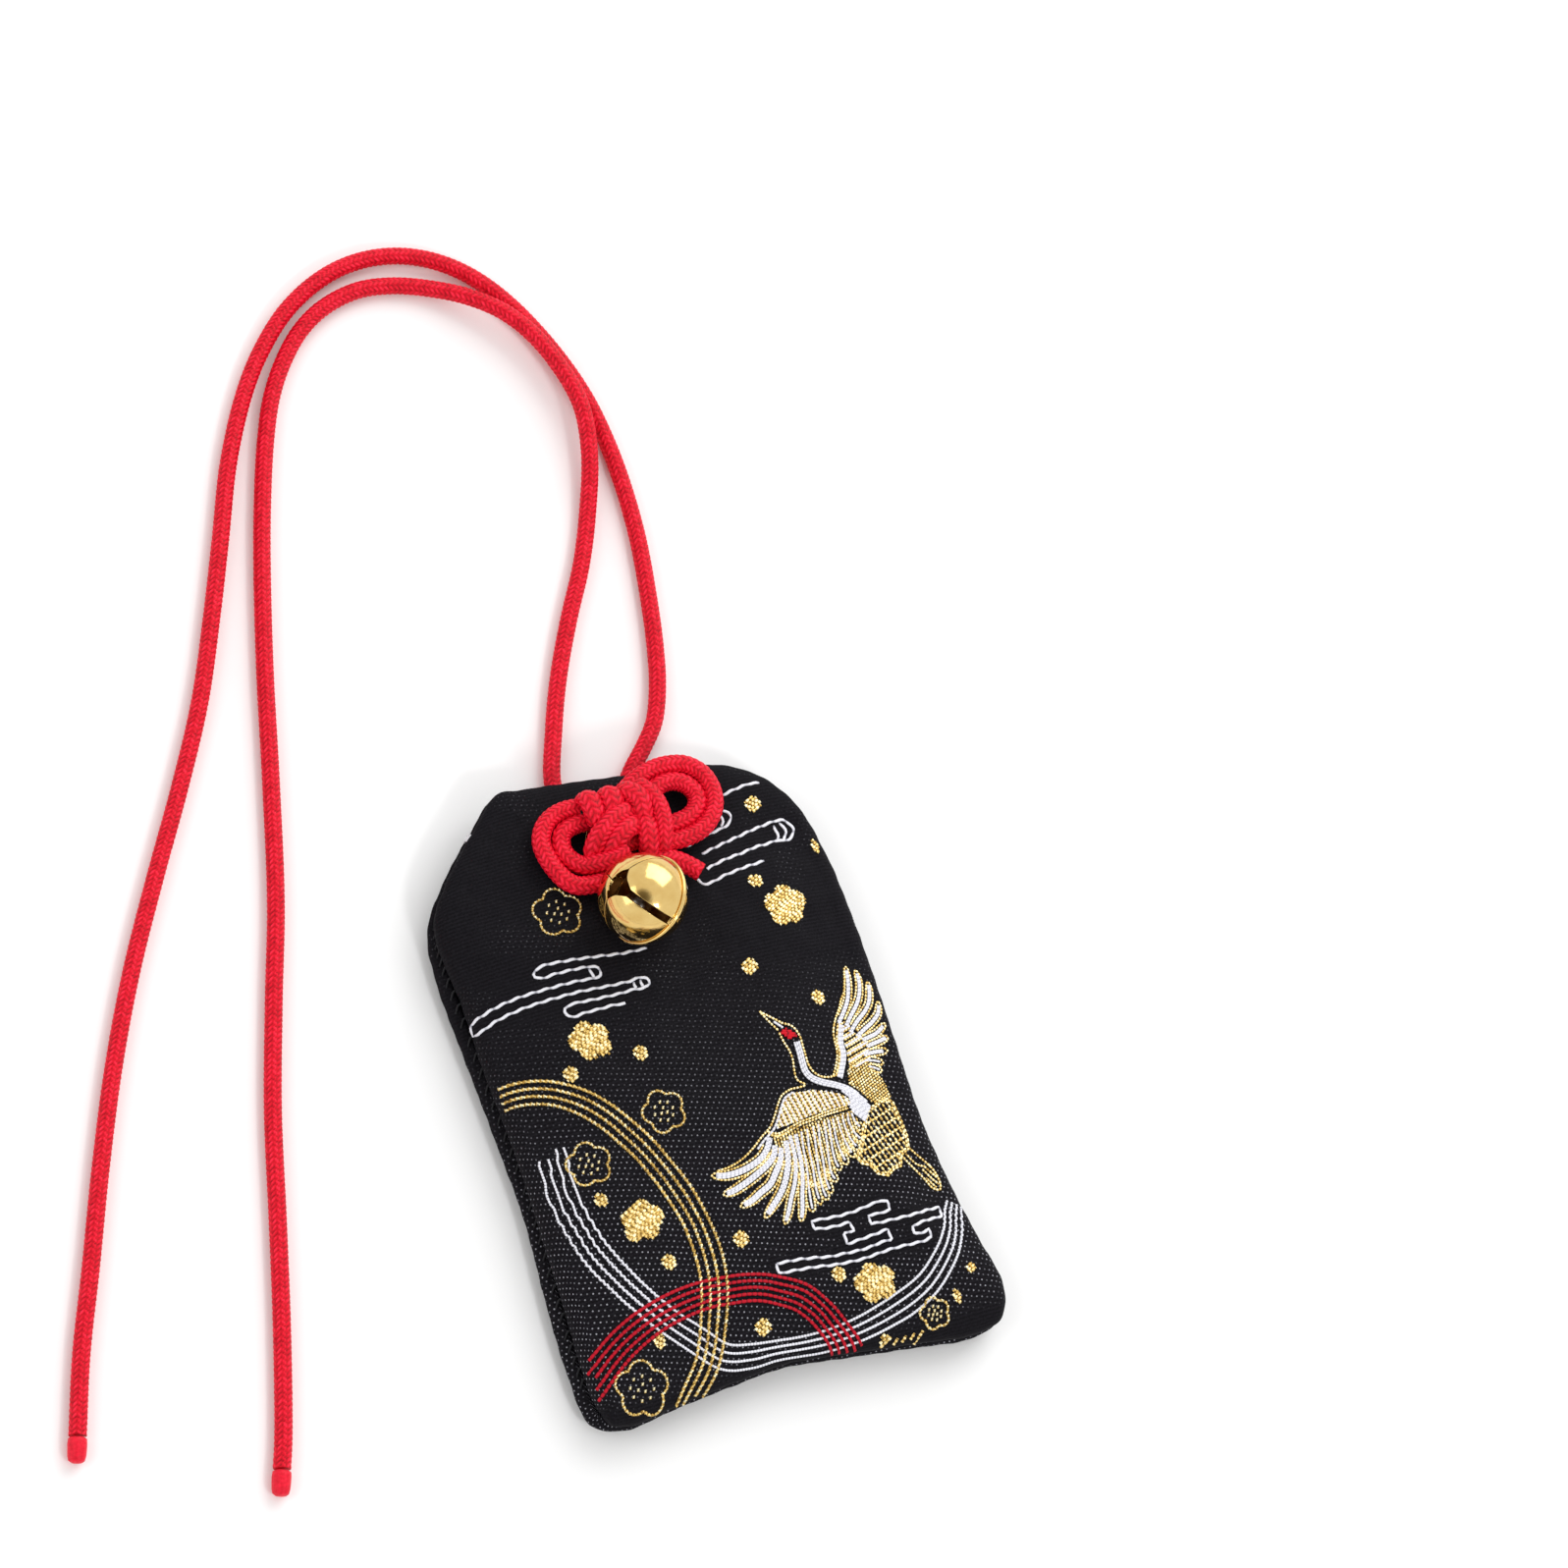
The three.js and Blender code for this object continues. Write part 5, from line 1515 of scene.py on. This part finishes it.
def feather(quill, rows, edge_start, half_width=0.46):
    """One feather along its quill: rows of white thread, with a gilt line round its outer part."""
    line = curved(quill)
    inner = line[:-max(2, len(line) // 14)]
    for row in range(rows):
        feather_white.append((beside(inner, barb_gap * (row - (rows - 1) / 2)), 0.4 * row))
    outer = line[int(edge_start * len(line)):]
    rounding = half_width * np.sqrt(1 - np.linspace(0, 1, len(outer)) ** 6)
    left, right = beside(outer, rounding), beside(outer, -rounding)
    feather_gold.append(([*left, *right[-2::-1]], 0.0))


upper_quills = [
    [(15.4, 0.7), (16.4, 1.7), (17.5, 3), (18.1, 4.2), (18.5, 5.5), (18.9, 6.9)],
    [(16.2, 0.2), (17.1, 1.1), (18.5, 2.4), (19.3, 3.5), (19.8, 4.9), (19.9, 6.3)],
    [(16.5, -0.6), (17.7, 0.4), (19.3, 1.5), (20.2, 2.4), (20.7, 3.6), (20.9, 4.7)],
    [(17.2, -1.2), (18.5, -0.5), (19.9, 0.2), (20.9, 1), (21.4, 2.3)],
    [(17.7, -1.7), (18.9, -1.45), (20.1, -1.1), (21.35, -0.3)],
    [(18, -2.5), (19.3, -2.25), (20.2, -2.1), (21.1, -1.9)],
    [(17.2, -3.4), (18.8, -3.3), (20.5, -3.4)],
    [(17.1, -4.1), (18.2, -4.25), (19.4, -4.7)],
    [(17.3, -4.8), (18, -5.1), (18.8, -5.6)],
]
for k, quill in enumerate(upper_quills):
    feather(quill, 2 if k < 7 else 1, 0.1, 0.44)
wing_edge = curved([
    (12.5, -5.1), (13.25, -4.05), (13.8, -3.1), (14.1, -2.1), (14.2, -1.1), (14.4, -0.1), (15.1, 1.1),
    (15.6, 1.7), (16.2, 2.4), (16.8, 3.3), (17.45, 4), (17.8, 4.8), (18.3, 5.9),
])
wrist = curved([
    (13.2, -5.4), (13.7, -4.65), (14.3, -3.7), (14.7, -2.7), (14.8, -1.65), (15.1, -0.7), (15.6, 0.4),
])
feather_gold.append((wing_edge, 0.0))
feather_gold.append((beside(wrist, 0.42), 0.5))
feather_white += [(beside(wrist, off), off) for off in (-0.24, 0.0, 0.22)]
wrist_fill = [
    (15.2, 0.9), (16.5, 0.6), (17, -0.6), (17.8, -1.3), (18.4, -2.1), (18.2, -3), (17.8, -4.2), (16, -4.6),
    (14.8, -4.6), (15, -3.4), (15.2, -2.2), (15.3, -1),
]
feather_gold += hatched(wrist_fill, (16.1, -2.0), 3.5, 0.42, 0.3)
feather_white += hatched(wrist_fill, (16.1, -2.0), 3.5, 0.84, 0.3, 0.25)

broad_quills = [
    [(2.9, -10), (2.2, -11.1), (1.1, -12), (-0.2, -12.5), (-1.75, -12.8), (-3.4, -12.8), (-4.9, -12.4)],
    [(3.2, -11), (2.6, -12.1), (1.5, -12.9), (0, -13.6), (-1.6, -14.2), (-3, -14.6), (-4.2, -14.7)],
    [(3.8, -11.4), (3.2, -12.8), (2.25, -13.9), (1.2, -15), (-0.1, -15.6), (-1.4, -16.2), (-2.8, -16.5)],
    [(4.6, -10.8), (4.1, -13), (3.5, -14.2), (2.7, -15.5), (1.8, -16.5), (0.8, -17.3), (-0.6, -18.4)],
]
for quill in broad_quills:
    feather(quill, 3, 0.16, 0.56)
fine_quills = [
    [(5.2, -10.4), (5, -12.7), (4.45, -14.5), (3.9, -15.7), (3, -17.2), (2.2, -18.6), (1.5, -19.6)],
    [(5.9, -10.4), (5.45, -13.4), (5, -15.3), (4.4, -17.1), (3.85, -18.7), (3.3, -19.8)],
    [(6.6, -10.3), (6.2, -12.2), (5.8, -14.5), (5.4, -16.4), (5.1, -18.1), (5, -19.1)],
    [(7.3, -10.2), (6.8, -12.4), (6.5, -14.7), (6.2, -16.6), (6.1, -18.6)],
    [(8, -10.1), (7.6, -12.3), (7.1, -14.9), (6.95, -17.1), (7.1, -18.3)],
    [(8.7, -10), (8.2, -12), (7.9, -14.2), (7.6, -16.1), (7.8, -17.7)],
    [(9.4, -9.9), (9.1, -11.6), (8.6, -14.2), (8.45, -15.6), (8.8, -16.6)],
    [(10, -9.8), (9.6, -11.7), (9.3, -14.2), (9.6, -15.5)],
    [(10.6, -9.8), (10.2, -11.5), (10.2, -13.5), (10.6, -15.1)],
    [(11.2, -9.7), (11, -11), (11.2, -12.8), (11.6, -14.5)],
    [(11.9, -9.6), (11.7, -10.6), (11.9, -12.4), (12.5, -13.8)],
    [(12.6, -9.5), (12.4, -10.6), (12.7, -12), (13.3, -12.9)],
    [(13.1, -9.6), (13.2, -10.6), (13.7, -11.7)],
]
for k, quill in enumerate(fine_quills):
    feather(quill, 2 if k < 2 else 1, 0.35 if k < 2 else 0.62, 0.44)
feather_fill = [
    (3.1, -9.7), (5.8, -9.9), (9, -9.5), (13.2, -9.3), (13.8, -11), (12.4, -13), (11.2, -14), (9.6, -14.6),
    (8.4, -15.6), (7.4, -16.6), (5.6, -16.6), (4.4, -16), (4.2, -13.6), (3, -11.4),
]
feather_gold += hatched(feather_fill, (8.7, -12.6), 6, 0.36, -1.62)
leading = curved([
    (7, -5.4), (5.85, -5.8), (5, -6.7), (4.2, -7.8), (3.3, -8.9), (2, -9.7), (0.6, -10.7), (-0.9, -11.5),
    (-2.6, -12), (-4.2, -12.1),
])
feather_gold.append((leading, 0.0))
feather_white.append((beside(leading[:len(leading) * 2 // 3], 0.45), 0.4))

coverts = [
    (7, -5.8), (5.6, -6.5), (4.4, -8), (4, -9.3), (6.1, -9.2), (8.5, -8.9), (11.3, -8.7), (13.3, -8.7),
    (13.4, -8), (12.6, -7.2), (11.2, -6.6), (9.4, -6),
]
feather_white += hatched(coverts, (8.7, -7.6), 5, 0.6, -1.4)
feather_gold += hatched(coverts, (8.7, -7.6), 5, 0.3, -1.4, 0.5)
row_line = curved([
    (2.8, -9.3), (4, -9.8), (5.5, -9.5), (7, -9.2), (8.5, -9.1), (9.9, -8.9), (11.4, -8.8), (12.9, -8.7),
])
feather_gold += [([(x, y - drop) for x, y in row_line], drop) for drop in (0.0, 0.3)]

breast = [
    (12.4, -6.2), (13.9, -6.7), (15, -7.9), (15.9, -9.3), (15.3, -9.9), (14.5, -11), (13.6, -10.2),
    (13.1, -9), (13.4, -8), (12.9, -7),
]
feather_white += hatched(breast, (14.2, -8.6), 4, 0.24, -0.9)
neck = curved([
    (9.55, -0.4), (9.5, -1.55), (9.4, -2.7), (9.4, -3.85), (9.8, -4.7), (10.8, -5.4), (12.5, -6.2),
    (13.7, -6.9), (14.6, -7.8),
])
feather_white += [(beside(neck, off), off) for off in (-0.26, 0.0, 0.26)]
feather_white.append(([(8.5, 1.5), (7.7, 2.4)], 0.5))
neck_right = curved([
    (8.4, 2.1), (9.6, 1.4), (10.1, 0.2), (10.1, -0.9), (10.05, -2), (10, -3.1), (10.3, -4.1), (11, -4.8),
    (12.1, -5.1), (12.9, -5), (13.5, -4.4),
])
neck_left = curved([
    (7.9, 1.1), (8.1, 0), (8.4, -1.2), (8.4, -2.3), (8.2, -3.4), (8.2, -4.55), (8.9, -5.3), (7, -5.4),
])
beak = [[(8.5, 2.1), (6.5, 3.9)], [(7.9, 1.3), (7.2, 2.5), (6.5, 3.9)]]
feather_gold += [(line, 0.0) for line in (neck_right, neck_left, *beak)]

mantle = [
    (14.5, -4.8), (15.5, -3.6), (16.6, -3.3), (17.9, -5.2), (18.6, -6.6), (18.9, -8.9), (17.2, -9.2),
    (16.1, -8.9), (15.2, -7.6), (14, -6.4),
]
feather_gold += hatched(mantle, (16.5, -6.3), 5, 0.3, 0.4)
legs = curved([
    (17.3, -15.4), (18.2, -16.9), (19.3, -18.6), (20, -19.8), (20.8, -20.1), (21.1, -19.4), (20.9, -18),
    (20.2, -16.7), (19.4, -15.7), (18.6, -14.7),
])
feather_gold += [(legs, 0.0), (curved([(18.0, -15.4), (19.0, -16.8), (19.9, -17.2)]), 0.5)]
feet = [(19.2, -17.4), (20.5, -16.9), (21.0, -18.4), (20.9, -19.7), (20.2, -19.9), (19.6, -18.6)]
feather_gold += hatched(feet, (20.2, -18.5), 2.4, 0.5, -0.95)
woven("crane_white_feathers", feather_white, white_thread, 0.27, 0.5, neck=0.8, lift=0.12)
woven("crane_gilt_edges", feather_gold, gilt_thread, 0.3, 0.4, neck=0.25, lift=0.08, height=0.2)

tail = [
    (15.1, -9.9), (16.4, -9.5), (17.7, -8.9), (18.6, -9.3), (18.8, -11.5), (18.8, -13.5), (18.5, -14.7),
    (17.2, -15.3), (16.7, -16.5), (15.8, -16.6), (14.8, -17.2), (13.9, -16.8), (13.3, -15.6), (12.4, -15.2),
    (12.1, -14.6), (13, -13.6), (13.8, -12.2), (14.6, -10.9),
]
lattice = hatched(tail, (15.4, -13.3), 5, 0.62, -1.25)
lattice += hatched(tail, (15.4, -13.3), 5, 1.15, 0.3)
lattice += [(tail + tail[:1], 0.0), (beside(tail, 0.25), 0.4)]
woven("crane_tail_lattice", lattice, gilt_thread, 0.3, 0.56, neck=0.12, lift=0.06)
crown_patch = hatched([(7.9, 1.1), (8.9, 1.35), (10.0, 0.2), (8.8, 0.1)], (9.0, 0.7), 1.4, 0.24, -0.3)
woven("crane_red_crown", crown_patch, crown_thread, 0.34, 0.9, neck=0.8, lift=0.12)

# The ground's binding dots stop short of the mist and of the bottom edge.
mist_clearance = 1.3
edge_clearance = 2.5
mist_places = [place for points, _ in mist_runs for place in stepped(points, 0.4)]
mist_finder = KDTree(len(mist_places))
for index, (x, y) in enumerate(mist_places):
    mist_finder.insert((x, y, 0), index)
mist_finder.balance()
cloth_mesh = front_cloth.data
weave_values = np.zeros(len(cloth_mesh.vertices) * 3)
cloth_mesh.attributes["weave"].data.foreach_get("vector", weave_values)
bare_values = []
for x, y in weave_values.reshape(-1, 3)[:, :2]:
    near_mist = (mist_clearance - mist_finder.find((x, y, 0))[2]) / 0.6
    near_edge = 1 - max(0, y + 0.94 * half_length) / edge_clearance
    bare_values.append(min(1, max(0, near_mist, near_edge)))
cloth_mesh.attributes.new("bare", "FLOAT", "POINT").data.foreach_set("value", bare_values)


# Table
# A plain white table top that the charm lies on, wide enough to fill the picture, with a soft
# shadow. It stands at the charm's lowest point.
table_half = 3.0
table_white, _, _ = new_material(
    "table_white", Base_Color=(0.96, 0.96, 0.96, 1), Roughness=0.9, Specular_IOR_Level=0.1
)
table_corners = [(x * table_half, y * table_half, 0) for x, y in ((-1, -1), (1, -1), (1, 1), (-1, 1))]
table = mesh_piece("table_top", table_corners, [(0, 1, 2, 3)], table_white)


# Light
# Soft daylight from all round, with a broad lamp behind and to the right for the bell's bright side,
# a small one in front for its spark and a weak one on the left. Metal mirrors the room's dark part.
world = bpy.data.worlds.new("soft studio")
world.use_nodes = True
world_tree = world.node_tree
toward = add_node(world_tree, "ShaderNodeTexCoord", output="Generated")
facing = add_node(
    world_tree, "ShaderNodeVectorMath", {0: toward, 1: view_back}, "Value", operation="DOT_PRODUCT"
)
stops = [(0.0, (1, 1, 1)), (0.89, (1, 1, 1)), (0.96, (0.25, 0.23, 0.19)), (1.0, (0.15, 0.13, 0.1))]
patch = colour_ramp(world_tree, facing, stops)
camera_ray, glossy_ray, transmission_ray = (
    add_node(world_tree, "ShaderNodeLightPath", output=f"Is {kind} Ray")
    for kind in ("Camera", "Glossy", "Transmission")
)
sees_background = (camera_ray + glossy_ray + transmission_ray).math("MINIMUM", 1.0)
level = mixed(world_tree, sees_background, (0.76, 0.76, 0.76), (1, 1, 1))
sky = mixed(world_tree, 1.0, level, patch, "MULTIPLY")
feed(world_tree, world_tree.nodes["Background"].inputs["Color"], sky)
bpy.context.scene.world = world

lamp_target = Vector((0, 0.02, 0))


def soft_lamp(name, place, size, watts):
    """A square lamp that shines at the charm."""
    data = bpy.data.lights.new(name, "AREA")
    data.shape = "SQUARE"
    data.size = size
    data.energy = watts
    lamp = linked_object(name, data)
    lamp.location = place
    lamp.rotation_euler = (lamp_target - lamp.location).to_track_quat("-Z", "Y").to_euler()


soft_lamp("window_lamp", (0.5, 0.47, 0.5), 0.75, 4.0)
soft_lamp("front_lamp", (0.1, -0.44, 0.52), 0.1, 0.9)
soft_lamp("fill_lamp", (-0.7, 0.1, 0.6), 0.6, 1.6)

bpy.context.scene.view_settings.view_transform = "Standard"
